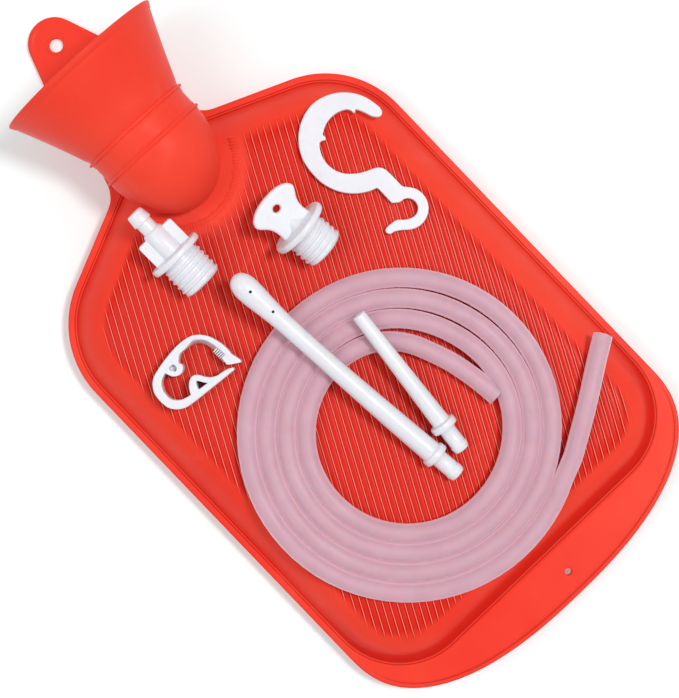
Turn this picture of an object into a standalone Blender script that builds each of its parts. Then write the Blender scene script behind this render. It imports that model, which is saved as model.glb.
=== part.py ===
"""A red rubber water bottle with a moulded funnel neck, lying on its back, and the kit that goes with it.

The kit lies loose on the bottle: a threaded stopper, a threaded hose adapter, a flat S-hook, a pinch
clamp, a coiled tube and two nozzles. Lengths are in metres, +Z is up and +Y points to the funnel.
The origin is on the ground, under the middle of the bottle. Points of outlines are in millimetres.
"""

import math

import bmesh
import bpy
from mathutils import Matrix, Vector

MM = 0.001
GAP = 0.0003

# Bottle body: two moulded sheets joined at a flat flange.
BODY_HALF_W = 0.100
BODY_BOTTOM_Y = -0.1893
BOTTOM_CAP_L = 0.053
BOTTOM_CAP_POWER = 2.42
SHOULDER_R = 0.048
SHOULDER_Y = 0.0399
SHOULDER_SLOPE = math.radians(23.3)
NECK_STUB_HALF_W = 0.0265
NECK_STUB_Y = 0.113
FILLET_R = 0.014
FLANGE_W = 0.005
FLANGE_TOP = 0.012
SEAM_Z = 0.010
FLANGE_BOTTOM = 0.008
SHEET_T = 0.0024

# Pillow: the raised field inside the flange.
PILLOW_BOTTOM_Y = -0.1629
PILLOW_CORNER_R = 0.036
PILLOW_APEX_R = 0.060
PILLOW_SLOPE_W = 0.022
PILLOW_POWER = 2.4
FRONT_TOP = 0.0278
PILLOW_RINGS = (0.0, 0.003, 0.0075, 0.014, 0.022)
PILLOW_SIDES = 72

# Neck and funnel, turned about an axis that rises towards the mouth.
NECK_BASE = Vector((0.0018, 0.102, 0.041))
NECK_RISE = math.radians(8.0)
NECK_YAW = math.radians(1.2)
NECK_R = 0.0268
NECK_L = 0.012
DOME_L = 0.035
MOUTH_S = 0.050
MOUTH_R = 0.043
FUNNEL_T = 0.0024
BORE_R = 0.0169
NECK_SIDES = 48
DOME_STEPS = 7

# Threaded ring bonded into the neck.
INSERT_R = 0.0166
INSERT_BORE_R = 0.0110
INSERT_S = (-0.0015, 0.0120)

# Hanging strap with its eyelet, and the hole in the lower tab.
TAB_TOP_Y = 0.1895
TAB_END_R = 0.013
TAB_FLANK_SLOPE = math.tan(math.radians(20.0))
TAB_MOST_HALF_W = 0.0195
TAB_X = 0.0015
TAB_T = 0.0028
TAB_ROOT_Y = 0.096
TAB_FLANK_Y = 0.165
EYELET_Y = 0.1754
EYELET_R = 0.0034
LOWER_HOLE = Vector((0.0040, -0.1778, 0.010))
LOWER_HOLE_R = 0.0017

# Opening in the front panel, under the dome.
PASSAGE_CENTRE = Vector((0.0018, 0.084, 0.02))
PASSAGE_R = 0.009
PASSAGE_STRETCH = 1.6

# Where the loose pieces lie.
KIT_Z = 0.0283

# Tube and its coil.
TUBE_D = 0.0092
COIL_CENTRE = Vector((-0.0066, -0.0762, KIT_Z))
COIL_OUTER_R = 0.0785
COIL_INNER_R = 0.0405
TAIL_ROUTE = (
    (61.5, -125.6, 32.9),
    (68.0, -121.2, 32.9),
    (76.0, -115.9, 32.5),
    (84.0, -110.8, 31.2),
    (92.0, -106.1, 29.2),
)

# Stopper and adapter share the thread.
THREAD_R = 0.0104
THREAD_ROOT_R = 0.0094
THREAD_PITCH = 0.00295
TURNED_SIDES = 24
STOPPER_END = Vector((0.0258, 0.0122, 0.0))
STOPPER_HEADING = math.radians(6.8)
STOPPER_FLANGE_R = 0.0146
STOPPER_TURNS = 4
ADAPTER_END = Vector((-0.0254, 0.0403, 0.0))
ADAPTER_HEADING = math.radians(0.9)
ADAPTER_FLANGE_R = 0.0137
ADAPTER_TURNS = 5
SHANK_NECK_L = 0.0020
FLANGE_DISC_T = 0.0032

# Hook: the middle lines of its bow and eye, in millimetres.
HOOK_T = 0.0036
HOOK_BOW = Vector((69.0, 42.6))
HOOK_BOW_R = 18.2
HOOK_EYE = Vector((67.2, 0.0))
HOOK_EYE_R = 7.1
CLAMP_HINGE = Vector((-0.0759, 0.0144, KIT_Z))
CLAMP_H = 0.0110

# Nozzles: where the middle of the collar is, and the rise of the axis away from it.
COLLAR_R = 0.0064
COLLAR_T = 0.0035
LONG_COLLAR = Vector((-0.0030, -0.0913, KIT_Z + 0.0066))
LONG_RISE = math.radians(7.8)
LONG_HEADING = math.radians(4.8)
LONG_BOW = 0.0009
SHORT_COLLAR = Vector((0.0092, -0.0843, KIT_Z + 0.0066))
SHORT_RISE = math.radians(8.2)
SHORT_HEADING = math.radians(-5.9)
NOZZLE_SIDES = 20


def clear_scene():
    for item in list(bpy.data.objects):
        bpy.data.objects.remove(item, do_unlink=True)


def material(name, colour, roughness, metallic=0.0, alpha=1.0):
    made = bpy.data.materials.new(name)
    made.use_nodes = True
    shader = made.node_tree.nodes["Principled BSDF"]
    shader.inputs["Base Color"].default_value = (*colour, 1.0)
    shader.inputs["Roughness"].default_value = roughness
    shader.inputs["Metallic"].default_value = metallic
    shader.inputs["Alpha"].default_value = alpha
    return made


def add_object(name, mesh, paint):
    mesh.materials.append(paint)
    made = bpy.data.objects.new(name, mesh)
    bpy.context.scene.collection.objects.link(made)
    return made


def object_from_rings(name, rings, paint, closed_loop=False):
    """A closed skin over rings of points. A ring of one point is a pole, and open ends are filled."""
    shape = bmesh.new()
    loops = [[shape.verts.new(point) for point in ring] for ring in rings]
    pairs = list(zip(loops, loops[1:]))
    if closed_loop:
        pairs.append((loops[-1], loops[0]))
    for lower, upper in pairs:
        count = max(len(lower), len(upper))
        for i in range(count):
            j = (i + 1) % count
            corners = [lower[i % len(lower)], lower[j % len(lower)]]
            corners += [upper[j % len(upper)], upper[i % len(upper)]]
            shape.faces.new(list(dict.fromkeys(corners)))
    if not closed_loop:
        if len(loops[0]) > 2:
            shape.faces.new(list(reversed(loops[0])))
        if len(loops[-1]) > 2:
            shape.faces.new(loops[-1])
    bmesh.ops.recalc_face_normals(shape, faces=shape.faces)
    if shape.calc_volume(signed=True) < 0:
        bmesh.ops.reverse_faces(shape, faces=shape.faces)
    mesh = bpy.data.meshes.new(name)
    shape.to_mesh(mesh)
    shape.free()
    return add_object(name, mesh, paint)


def shade_round(made, sharp_above=35.0):
    made.data.shade_smooth()
    made.data.set_sharp_from_angle(angle=math.radians(sharp_above))


def combine(target, other, operation):
    """Adds a Boolean with another object, which becomes a helper."""
    other.hide_render = True
    other.display_type = "WIRE"
    change = target.modifiers.new(operation.title(), "BOOLEAN")
    change.operation = operation
    change.object = other
    change.solver = "EXACT"


def turned(name, profile, paint, sides=TURNED_SIDES):
    """A profile of (s, r) turned about local Z. A point with r = 0 is a pole."""
    rings = []
    for s, r in profile:
        if r == 0:
            rings.append([(0.0, 0.0, s)])
        else:
            angles = (2 * math.pi * i / sides for i in range(sides))
            rings.append([(r * math.cos(a), r * math.sin(a), s) for a in angles])
    closed_loop = profile[0][1] > 0 and profile[-1][1] > 0
    made = object_from_rings(name, rings, paint, closed_loop)
    shade_round(made)
    return made


def cylinder_cutter(name, centre, radius, height, sides=24, stretch=1.0):
    rings = []
    for z in (-height / 2, height / 2):
        angles = [2 * math.pi * i / sides for i in range(sides)]
        spokes = [Vector((radius * stretch * math.cos(a), radius * math.sin(a), z)) for a in angles]
        rings.append([centre + spoke for spoke in spokes])
    return object_from_rings(name, rings, PAINT["helper"])


def arc(cx, cy, radius, start_deg, end_deg, steps):
    angles = (math.radians(start_deg + (end_deg - start_deg) * i / steps) for i in range(steps + 1))
    return [(cx + radius * math.cos(a), cy + radius * math.sin(a)) for a in angles]


def smooth_line(points, steps):
    """Catmull-Rom through tuples of any length, `steps` per span."""
    ends = [points[0]] + list(points) + [points[-1]]
    line = []
    for p0, p1, p2, p3 in zip(ends, ends[1:], ends[2:], ends[3:]):
        for i in range(steps):
            t = i / steps
            line.append(tuple(
                b + 0.5 * ((c - a) * t + (2 * a - 5 * b + 4 * c - d) * t**2 + (3 * b - a - 3 * c + d) * t**3)
                for a, b, c, d in zip(p0, p1, p2, p3)
            ))
    line.append(tuple(points[-1]))
    return line


def stroke_outline(line, round_start=True, round_end=True, cap_steps=5):
    """The outline of a band along (x, y, half width) points, with round or flat ends."""
    left, right = [], []
    for i, (x, y, half) in enumerate(line):
        before, after = line[max(i - 1, 0)], line[min(i + 1, len(line) - 1)]
        along = Vector((after[0] - before[0], after[1] - before[1])).normalized()
        side = Vector((-along.y, along.x)) * half
        left.append((x + side.x, y + side.y))
        right.append((x - side.x, y - side.y))
    outline = list(left)
    if round_end:
        outline += round_cap(line[-2], line[-1], cap_steps)
    outline += reversed(right)
    if round_start:
        outline += round_cap(line[1], line[0], cap_steps)
    return outline


def round_cap(inner, end, steps):
    heading = math.degrees(math.atan2(end[1] - inner[1], end[0] - inner[0]))
    return arc(end[0], end[1], end[2], heading + 90, heading - 90, steps)[1:-1]


def plate(name, outline, bottom, thickness, paint):
    """An outline in millimetres, extruded upwards."""
    rings = [[(x * MM, y * MM, z) for x, y in outline] for z in (bottom, bottom + thickness)]
    return object_from_rings(name, rings, paint)


def body_half_width(y):
    """Half the width of the flange's outline at height y."""
    from_bottom = y - BODY_BOTTOM_Y
    if from_bottom <= 0 or y >= NECK_STUB_Y:
        return 0.0
    if from_bottom < BOTTOM_CAP_L:
        share = 1 - from_bottom / BOTTOM_CAP_L
        return BODY_HALF_W * (1 - share**BOTTOM_CAP_POWER) ** (1 / BOTTOM_CAP_POWER)
    if y < SHOULDER_Y:
        return BODY_HALF_W
    turn = math.pi / 2 - SHOULDER_SLOPE
    arc_end_y = SHOULDER_Y + SHOULDER_R * math.sin(turn)
    arc_end_x = BODY_HALF_W - SHOULDER_R + SHOULDER_R * math.cos(turn)
    if y < arc_end_y:
        return BODY_HALF_W - SHOULDER_R + math.sqrt(SHOULDER_R**2 - (y - SHOULDER_Y) ** 2)
    corner_y = arc_end_y + (arc_end_x - NECK_STUB_HALF_W) * math.tan(SHOULDER_SLOPE)
    tangent = FILLET_R * math.tan(turn / 2)
    fillet_top = corner_y + tangent
    fillet_low = corner_y - tangent * math.sin(SHOULDER_SLOPE)
    if y < fillet_low:
        return arc_end_x - (y - arc_end_y) / math.tan(SHOULDER_SLOPE)
    if y < fillet_top:
        return NECK_STUB_HALF_W + FILLET_R - math.sqrt(FILLET_R**2 - (fillet_top - y) ** 2)
    return NECK_STUB_HALF_W


def pillow_edge(inset=0.0):
    """The pillow's rounded outline, moved inwards, as evenly spaced (x, y, normal) points, anticlockwise."""
    side_x = BODY_HALF_W - FLANGE_W - inset
    corner_r = PILLOW_CORNER_R - inset
    shoulder_r = SHOULDER_R - FLANGE_W - inset
    turn = math.degrees(math.pi / 2 - SHOULDER_SLOPE)
    corner_x = BODY_HALF_W - FLANGE_W - PILLOW_CORNER_R
    corner_y = PILLOW_BOTTOM_Y + PILLOW_CORNER_R
    shoulder_x = BODY_HALF_W - SHOULDER_R
    full_shoulder_r = SHOULDER_R - FLANGE_W
    touch = Vector((
        shoulder_x + full_shoulder_r * math.cos(math.radians(turn)),
        SHOULDER_Y + full_shoulder_r * math.sin(math.radians(turn)),
    ))
    normal = Vector((math.sin(SHOULDER_SLOPE), math.cos(SHOULDER_SLOPE)))
    apex_y = (touch.dot(normal) - PILLOW_APEX_R) / normal.y
    apex_r = PILLOW_APEX_R - inset
    right = [(0.0, PILLOW_BOTTOM_Y + inset, 270.0), (corner_x, PILLOW_BOTTOM_Y + inset, 270.0)]
    right += turn_points(corner_x, corner_y, corner_r, 270.0, 360.0)
    right += [(side_x, SHOULDER_Y, 0.0)]
    right += turn_points(shoulder_x, SHOULDER_Y, shoulder_r, 0.0, turn)
    right += turn_points(0.0, apex_y, apex_r, turn, 90.0)
    outline = right + [(-x, y, 180.0 - a) for x, y, a in reversed(right[1:-1])]
    return [(x, y, math.radians(a)) for x, y, a in outline]


def turn_points(cx, cy, radius, start, end):
    """Points on an arc, each with its heading in degrees."""
    steps = 8
    headings = [start + (end - start) * i / steps for i in range(steps + 1)]
    return [(x, y, a) for (x, y), a in zip(arc(cx, cy, radius, start, end, steps), headings)]


def spaced_edge():
    """PILLOW_SIDES places along the pillow's edge, each with its point and outward normal."""
    outline = [(Vector((x, y)), Vector((math.cos(a), math.sin(a)))) for x, y, a in pillow_edge()]
    closed = outline + [outline[0]]
    lengths = [(b[0] - a[0]).length for a, b in zip(closed, closed[1:])]
    step = sum(lengths) / PILLOW_SIDES
    places, travelled, wanted = [], 0.0, 0.0
    for (p, n), (q, m), length in zip(closed, closed[1:], lengths):
        while length > 0 and wanted < travelled + length and len(places) < PILLOW_SIDES:
            share = (wanted - travelled) / length
            places.append((p.lerp(q, share), n.lerp(m, share).normalized()))
            wanted += step
        travelled += length
    return places


def to_outline(point, normal):
    """The point of the flange's outline straight out from the pillow's edge."""
    near, far = 0.0, 0.060
    for _ in range(30):
        middle = (near + far) / 2
        test = point + normal * middle
        if abs(test.x) < body_half_width(test.y):
            near = middle
        else:
            far = middle
    return point + normal * near


def pillow_rise(inset):
    """How far up the pillow's slope is, from 0 at its edge to 1 on the field."""
    share = min(inset / PILLOW_SLOPE_W, 1.0)
    return 1 - (1 - share) ** PILLOW_POWER


def sheet_rings(outer_z, field_z, seam_z, places):
    """The rings of one sheet: over its outer face, round the flange's edge and back over its inner face."""
    towards_seam = 1 if seam_z > outer_z else -1
    outline = [to_outline(p, n) for p, n in places]
    outer, inner = [], []
    for inset in PILLOW_RINGS:
        z = outer_z + (field_z - outer_z) * pillow_rise(inset)
        ring = [p - n * inset for p, n in places]
        outer.append([(q.x, q.y, z) for q in ring])
        inner_z = z + towards_seam * SHEET_T
        if (inner_z - seam_z) * towards_seam > 0:
            inner_z = seam_z
        inner.append([(q.x, q.y, inner_z) for q in ring])
    rings = list(reversed(outer))
    rings.append([(q.x, q.y, outer_z) for q in outline])
    rings.append([(q.x, q.y, seam_z) for q in outline])
    return rings + inner


def front_panel():
    places = spaced_edge()
    rings = sheet_rings(FLANGE_TOP, FRONT_TOP, SEAM_Z + GAP / 2, places)
    made = object_from_rings("front_panel", rings, PAINT["rubber"])
    passage = cylinder_cutter("neck_passage", PASSAGE_CENTRE, PASSAGE_R, 0.05, 16, PASSAGE_STRETCH)
    combine(made, passage, "DIFFERENCE")
    hole = cylinder_cutter("lower_hole_front", LOWER_HOLE, LOWER_HOLE_R, 0.02, 12)
    combine(made, hole, "DIFFERENCE")
    shade_round(made)


def back_panel():
    places = spaced_edge()
    rings = sheet_rings(FLANGE_BOTTOM, 0.0, SEAM_Z - GAP / 2, places)
    made = object_from_rings("back_panel", rings, PAINT["rubber"])
    combine(made, hanging_strap(), "UNION")
    eyelet = cylinder_cutter("eyelet", Vector((TAB_X, EYELET_Y, 0.0)), EYELET_R, 0.02, 16)
    combine(made, eyelet, "DIFFERENCE")
    hole = cylinder_cutter("lower_hole_back", LOWER_HOLE, LOWER_HOLE_R, 0.02, 12)
    combine(made, hole, "DIFFERENCE")
    shade_round(made)


def tab_half_width(y):
    end_y = TAB_TOP_Y - TAB_END_R
    tangent_y = end_y + TAB_END_R * math.sin(math.atan(TAB_FLANK_SLOPE))
    if y > tangent_y:
        return math.sqrt(max(TAB_END_R**2 - (y - end_y) ** 2, 0.0))
    tangent_x = math.sqrt(TAB_END_R**2 - (tangent_y - end_y) ** 2)
    return min(tangent_x + (tangent_y - y) * TAB_FLANK_SLOPE, TAB_MOST_HALF_W)


def hanging_strap():
    """The strap runs from the flange under the neck down to the ground and out past the mouth."""
    low, high = TAB_T / 2, SEAM_Z - GAP / 2 - TAB_T / 2
    straight = [TAB_ROOT_Y + (TAB_FLANK_Y - TAB_ROOT_Y) * i / 8 for i in range(9)]
    end_y = TAB_TOP_Y - TAB_END_R
    round_end = [(TAB_FLANK_Y + end_y) / 2, end_y]
    round_end += [end_y + TAB_END_R * math.sin(math.radians(a)) for a in (20, 38, 54, 68, 80)]
    rings = []
    for y in straight + round_end:
        share = min(max((y - TAB_ROOT_Y - 0.006) / 0.040, 0.0), 1.0)
        z = high + (low - high) * share * share * (3 - 2 * share)
        half = tab_half_width(y)
        t = TAB_T / 2
        corners = ((-half, -t), (half, -t), (half, t), (-half, t))
        rings.append([(TAB_X + dx, y, z + dz) for dx, dz in corners])
    return object_from_rings("hanging_strap", rings, PAINT["helper"])


def neck_matrix():
    """Local Z along the neck's axis, from its base to the mouth."""
    tilt = Matrix.Rotation(-(math.pi / 2 - NECK_RISE), 4, "X")
    yaw = Matrix.Rotation(-NECK_YAW, 4, "Z")
    return Matrix.Translation(NECK_BASE) @ yaw @ tilt


def neck_funnel():
    dome = [math.radians(90.0 * i / DOME_STEPS) for i in range(DOME_STEPS + 1)]
    inner_l, inner_r = DOME_L - FUNNEL_T, NECK_R - FUNNEL_T
    profile = [(-DOME_L * math.cos(a), NECK_R * math.sin(a)) for a in dome]
    profile += [(NECK_L, NECK_R), (MOUTH_S, MOUTH_R), (MOUTH_S, MOUTH_R - FUNNEL_T)]
    profile += [(NECK_L + 0.0015, NECK_R - FUNNEL_T), (NECK_L + GAP, BORE_R)]
    profile += [(INSERT_S[0] - GAP, BORE_R), (-0.008, BORE_R + 0.002)]
    inner_dome = [a for a in reversed(dome) if inner_l * math.cos(a) > 0.012]
    profile += [(-inner_l * math.cos(a), inner_r * math.sin(a)) for a in inner_dome]
    made = turned("neck_funnel", profile, PAINT["rubber"], NECK_SIDES)
    made.matrix_world = neck_matrix()
    combine(made, pillow_cutter(), "DIFFERENCE")


def pillow_cutter():
    """The space of the bottle's body, GAP larger, which the dome is cut away from."""
    places = spaced_edge()
    rings = []
    for inset in reversed(PILLOW_RINGS):
        z = FLANGE_TOP + (FRONT_TOP - FLANGE_TOP) * pillow_rise(inset) + GAP
        rings.append([(*(p - n * inset), z) for p, n in places])
    rings.append([(p.x, p.y, -0.010) for p, _ in places])
    return object_from_rings("pillow_space", rings, PAINT["helper"])


def neck_insert():
    low, high = INSERT_S
    profile = [(low, INSERT_R), (high, INSERT_R), (high, INSERT_BORE_R), (low, INSERT_BORE_R)]
    made = turned("neck_insert", profile, PAINT["white"], 32)
    made.matrix_world = neck_matrix()


def thread_profile(turns):
    """(s, r) points of a ridged shank, from its free end."""
    points = []
    for i in range(turns):
        s = 0.0008 + i * THREAD_PITCH
        points += [(s, THREAD_ROOT_R), (s + 0.0008, THREAD_R)]
        points += [(s + 0.0015, THREAD_R), (s + 0.0023, THREAD_ROOT_R)]
    return points


def flange_disc(s, radius):
    """(s, r) points of a disc with softened edges."""
    edge, top = 0.0009, s + FLANGE_DISC_T
    return [(s, radius - edge), (s + edge, radius), (top - edge, radius), (top, radius - edge)]


def lying(end, heading, flange_r, flange_s):
    """Lays local Z along +Y on the ground of the kit, resting on the thread's end and on the flange."""
    tilt = math.asin((flange_r - THREAD_R) / flange_s)
    lift = THREAD_R * math.cos(tilt) + THREAD_R * math.sin(tilt) * 0.1
    turn = Matrix.Rotation(heading, 4, "Z") @ Matrix.Rotation(-(math.pi / 2 - tilt), 4, "X")
    return Matrix.Translation((end.x, end.y, KIT_Z + GAP + lift)) @ turn


def stopper():
    shank = 0.0010 + STOPPER_TURNS * THREAD_PITCH
    flange = shank + SHANK_NECK_L
    top = flange + FLANGE_DISC_T
    profile = [(0.0, 0.0074), (0.0, 0.0088)] + thread_profile(STOPPER_TURNS)
    profile += [(shank, 0.0092), (flange, 0.0092)] + flange_disc(flange, STOPPER_FLANGE_R)
    profile += [(top, 0.0078), (top + 0.0022, 0.0060), (top + 0.0048, 0.0028), (top + 0.0054, 0)]
    profile = [(0.0125, 0), (0.0118, 0.0074)] + profile
    made = turned("stopper", profile, PAINT["white"])
    made.matrix_world = lying(STOPPER_END, STOPPER_HEADING, STOPPER_FLANGE_R, flange)
    wing = wing_plate("stopper_wing", top * 1000)
    wing.matrix_world = made.matrix_world
    combine(made, wing, "UNION")


def wing_plate(name, base):
    """The finger wing above the flange, a flat plate in the local XZ plane."""
    flare = [(9.0, -1.0), (8.5, 3.0), (8.8, 6.2), (11.0, 10.5), (12.5, 12.3), (13.0, 13.9)]
    crown = [(12.5, 15.5), (9.6, 18.0), (5.0, 19.4)]
    right = [(x, base + s) for x, s in flare + crown]
    outline = right + [(0.0, base + 19.8)] + [(-x, s) for x, s in reversed(right)]
    half = 0.0021
    rings = [[(x * MM, dy, s * MM) for x, s in outline] for dy in (-half, half)]
    made = object_from_rings(name, rings, PAINT["helper"])
    hole = cylinder_cutter("wing_hole", Vector((0.0, 0.0, 0.0)), 0.0018, 0.02, 12)
    hole.matrix_world = Matrix.Translation((0, 0, (base + 12.4) * MM)) @ Matrix.Rotation(math.pi / 2, 4, "X")
    hole.parent = made
    combine(made, hole, "DIFFERENCE")
    return made


def tube_adapter():
    shank = ADAPTER_TURNS * THREAD_PITCH + SHANK_NECK_L
    top = shank + FLANGE_DISC_T
    tip = top + 0.0255
    profile = [(0.0, 0.0076), (0.0, 0.0088)] + thread_profile(ADAPTER_TURNS)
    profile += flange_disc(shank, ADAPTER_FLANGE_R) + [(top, 0.0052)]
    profile += [(tip - 0.0060, 0.0041), (tip - 0.0056, 0.0048), (tip, 0.0040)]
    profile += [(tip, 0.0024), (0.0160, 0.0024), (0.0150, 0.0076)]
    made = turned("tube_adapter", profile, PAINT["white"])
    made.matrix_world = lying(ADAPTER_END, ADAPTER_HEADING, ADAPTER_FLANGE_R, shank)
    block = adapter_key(top)
    block.matrix_world = made.matrix_world
    combine(made, block, "UNION")


def adapter_key(top):
    """The flat key above the adapter's flange, with the water passage cleared through it."""
    half_w, half_t, height = 0.0101, 0.0024, 0.0125
    corners = ((-half_w, -half_t), (half_w, -half_t), (half_w, half_t), (-half_w, half_t))
    rings = [[(x, y, z) for x, y in corners] for z in (top - 0.0010, top + height)]
    made = object_from_rings("adapter_key", rings, PAINT["helper"])
    passage = cylinder_cutter("key_passage", Vector((0, 0, top + 0.006)), 0.0030, 0.04, 16)
    passage.parent = made
    combine(made, passage, "DIFFERENCE")
    return made


def s_hook():
    """A flat hook: a wide bow, a reversed shank and a small eye, as two bands joined."""
    halves = (3.8, 4.4, 4.7, 4.8, 4.7, 4.4)
    bow = arc(HOOK_BOW.x, HOOK_BOW.y, HOOK_BOW_R, 40, 220, len(halves) - 1)
    band = [(87.2, 43.2, 3.0), (86.6, 47.2, 3.2)] + [(x, y, h) for (x, y), h in zip(bow, halves)]
    band += [(61.4, 23.8, 3.9), (65.9, 21.4, 4.1), (68.2, 17.4, 4.3), (68.1, 12.0, 4.3), (68.1, 7.6, 4.2)]
    made = plate("s_hook", stroke_outline(smooth_line(band, 4)), KIT_Z, HOOK_T, PAINT["white"])
    eye = arc(HOOK_EYE.x, HOOK_EYE.y, HOOK_EYE_R, 75, -95, 5)
    small = [(x, y, 2.4) for x, y in eye] + [(61.6, -5.6, 2.3), (58.0, -2.8, 2.1), (54.4, -1.6, 2.0)]
    tail = plate("hook_tail", stroke_outline(smooth_line(small, 3)), KIT_Z, HOOK_T, PAINT["helper"])
    combine(made, tail, "UNION")


def clamp_base():
    band = [(-75.9, 13.8, 1.7), (-75.2, 10.4, 1.8), (-72.6, 7.1, 1.8), (-68.4, 5.4, 1.7)]
    band += [(-60.0, 4.3, 1.5), (-52.0, 3.6, 1.45), (-46.5, 3.0, 1.3), (-43.4, 2.2, 0.8)]
    outline = stroke_outline(smooth_line(band, 4), round_start=False)
    made = plate("clamp_base", outline, KIT_Z, CLAMP_H, PAINT["white"])
    jaw = [(-66.4, 4.8), (-51.0, 3.6), (-52.6, 5.8), (-55.5, 9.2)]
    jaw += [(-57.6, 11.8), (-59.4, 12.5), (-61.4, 11.6), (-64.2, 8.0)]
    combine(made, plate("base_jaw", jaw, KIT_Z, CLAMP_H, PAINT["helper"]), "UNION")


def clamp_arm():
    band = [(-75.9, 15.0, 1.7), (-75.2, 19.0, 1.8), (-72.2, 22.4, 1.8), (-66.8, 24.1, 1.6)]
    band += [(-60.0, 25.1, 1.5), (-53.6, 25.5, 1.5), (-47.6, 24.4, 1.7), (-43.6, 20.8, 2.2)]
    band += [(-41.7, 15.6, 2.8), (-41.4, 10.5, 3.1), (-41.4, 7.4, 3.1)]
    outline = stroke_outline(smooth_line(band, 4), round_start=False, round_end=False)
    made = plate("clamp_arm", outline, KIT_Z, CLAMP_H, PAINT["white"])
    jaw = [(-66.3, 24.4), (-65.6, 20.4), (-64.6, 18.4), (-62.4, 17.6)]
    jaw += [(-60.2, 18.2), (-59.0, 20.2), (-57.8, 23.0), (-56.0, 25.4)]
    combine(made, plate("arm_jaw", jaw, KIT_Z, CLAMP_H, PAINT["helper"]), "UNION")
    made.data.transform(Matrix.Translation(-CLAMP_HINGE))
    made.location = CLAMP_HINGE


def tube_tail():
    curve = bpy.data.curves.new("tube_tail", "CURVE")
    curve.dimensions = "3D"
    curve.bevel_depth = TUBE_D / 2
    curve.bevel_resolution = 2
    curve.use_fill_caps = True
    points = smooth_line(TAIL_ROUTE, 2)
    spline = curve.splines.new("POLY")
    spline.points.add(len(points) - 1)
    for place, (x, y, z) in zip(spline.points, points):
        place.co = (x * MM, y * MM, z * MM, 1.0)
    curve.materials.append(PAINT["tube"])
    made = bpy.data.objects.new("tube_tail", curve)
    bpy.context.scene.collection.objects.link(made)


def tube_coil():
    edge = 0.0020
    low, high = 0.0, TUBE_D
    profile = [(low, COIL_INNER_R + edge), (low, COIL_OUTER_R - edge), (edge, COIL_OUTER_R)]
    profile += [(high - edge, COIL_OUTER_R), (high, COIL_OUTER_R - edge), (high, COIL_INNER_R + edge)]
    profile += [(high - edge, COIL_INNER_R), (edge, COIL_INNER_R)]
    made = turned("tube_coil", profile, PAINT["tube"], 48)
    made.location = COIL_CENTRE


def nozzle(name, collar, rise, heading, bow, profile, bore, bore_end):
    """A hollow nozzle. s runs from its head to its barb, and s = 0 is the middle of the collar."""
    first, last = profile[0][0] * MM, profile[-1][0] * MM
    place = Matrix.Translation(collar) @ Matrix.Rotation(heading, 4, "Z") @ Matrix.Rotation(rise, 4, "X")

    def ring(s, r):
        sag = bow * (4 * (s - first) * (last - s) / (last - first) ** 2) if bow else 0.0
        if r == 0:
            return [place @ Vector((sag, -s, 0.0))]
        angles = (2 * math.pi * i / NOZZLE_SIDES for i in range(NOZZLE_SIDES))
        return [place @ Vector((sag + r * math.cos(a), -s, r * math.sin(a))) for a in angles]

    rings = [ring(s * MM, r * MM) for s, r in profile]
    rings.append(ring(last, bore))
    if bore_end is None:
        rings.append(ring(first, bore))
        made = object_from_rings(name, rings, PAINT["white"], closed_loop=True)
    else:
        steps = 6
        rings += [ring(last + (bore_end - last) * i / steps, bore) for i in range(1, steps + 1)]
        rings.append(ring(bore_end - 0.002, 0))
        made = object_from_rings(name, rings, PAINT["white"])
    shade_round(made)


def long_nozzle():
    half = COLLAR_T / MM / 2
    r_collar = COLLAR_R / MM
    profile = [(-125.0, 0), (-124.3, 2.6), (-122.4, 4.5), (-119.4, 5.7), (-115.5, 6.0), (-111.0, 5.7)]
    profile += [(-103.0, 5.0), (-93.0, 4.4), (-75.0, 4.25), (-50.0, 4.6), (-25.0, 5.0), (-half, 5.2)]
    profile += [(-half, r_collar), (half, r_collar), (half, 4.1), (11.0, 4.1), (11.6, 4.4), (14.6, 3.9)]
    nozzle("long_nozzle", LONG_COLLAR, LONG_RISE, LONG_HEADING, -LONG_BOW, profile, 0.0026, -0.1180)


def short_nozzle():
    half = COLLAR_T / MM / 2
    r_collar = COLLAR_R / MM
    profile = [(-65.4, 3.2), (-40.0, 3.7), (-half, 4.5), (-half, r_collar), (half, r_collar)]
    profile += [(half, 3.9), (11.0, 3.9), (11.6, 4.2), (14.6, 3.7)]
    nozzle("short_nozzle", SHORT_COLLAR, SHORT_RISE, SHORT_HEADING, 0.0, profile, 0.0019, None)


PAINT = {}


def main():
    clear_scene()
    PAINT["rubber"] = material("red_rubber", (0.83, 0.045, 0.025), 0.45)
    PAINT["white"] = material("white_plastic", (0.88, 0.88, 0.90), 0.40)
    PAINT["tube"] = material("pink_tube", (0.68, 0.38, 0.48), 0.30)
    PAINT["helper"] = material("helper", (0.5, 0.5, 0.5), 0.5)
    front_panel()
    back_panel()
    neck_funnel()
    neck_insert()
    stopper()
    tube_adapter()
    s_hook()
    clamp_base()
    clamp_arm()
    tube_tail()
    tube_coil()
    long_nozzle()
    short_nozzle()


main()
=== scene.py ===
"""The looks of a red rubber water bottle with a funnel neck, and of the irrigation kit that lies on it.

Lengths are in millimetres until a mesh is made. The origin is on the ground under the middle of the
bottle, +Z is up and +Y points to the funnel.
"""

import math

import bmesh
import bpy
import numpy as np
from mathutils import Matrix, Vector


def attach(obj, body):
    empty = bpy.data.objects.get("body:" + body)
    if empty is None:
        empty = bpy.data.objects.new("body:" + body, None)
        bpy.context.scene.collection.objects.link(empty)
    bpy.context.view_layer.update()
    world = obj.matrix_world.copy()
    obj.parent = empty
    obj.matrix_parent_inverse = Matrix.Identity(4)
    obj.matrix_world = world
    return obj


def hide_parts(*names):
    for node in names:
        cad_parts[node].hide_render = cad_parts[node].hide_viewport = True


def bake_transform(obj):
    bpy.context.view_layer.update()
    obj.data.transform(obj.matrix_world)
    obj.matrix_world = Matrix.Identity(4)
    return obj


MM = 0.001
WELD_M = 0.00001

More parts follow.
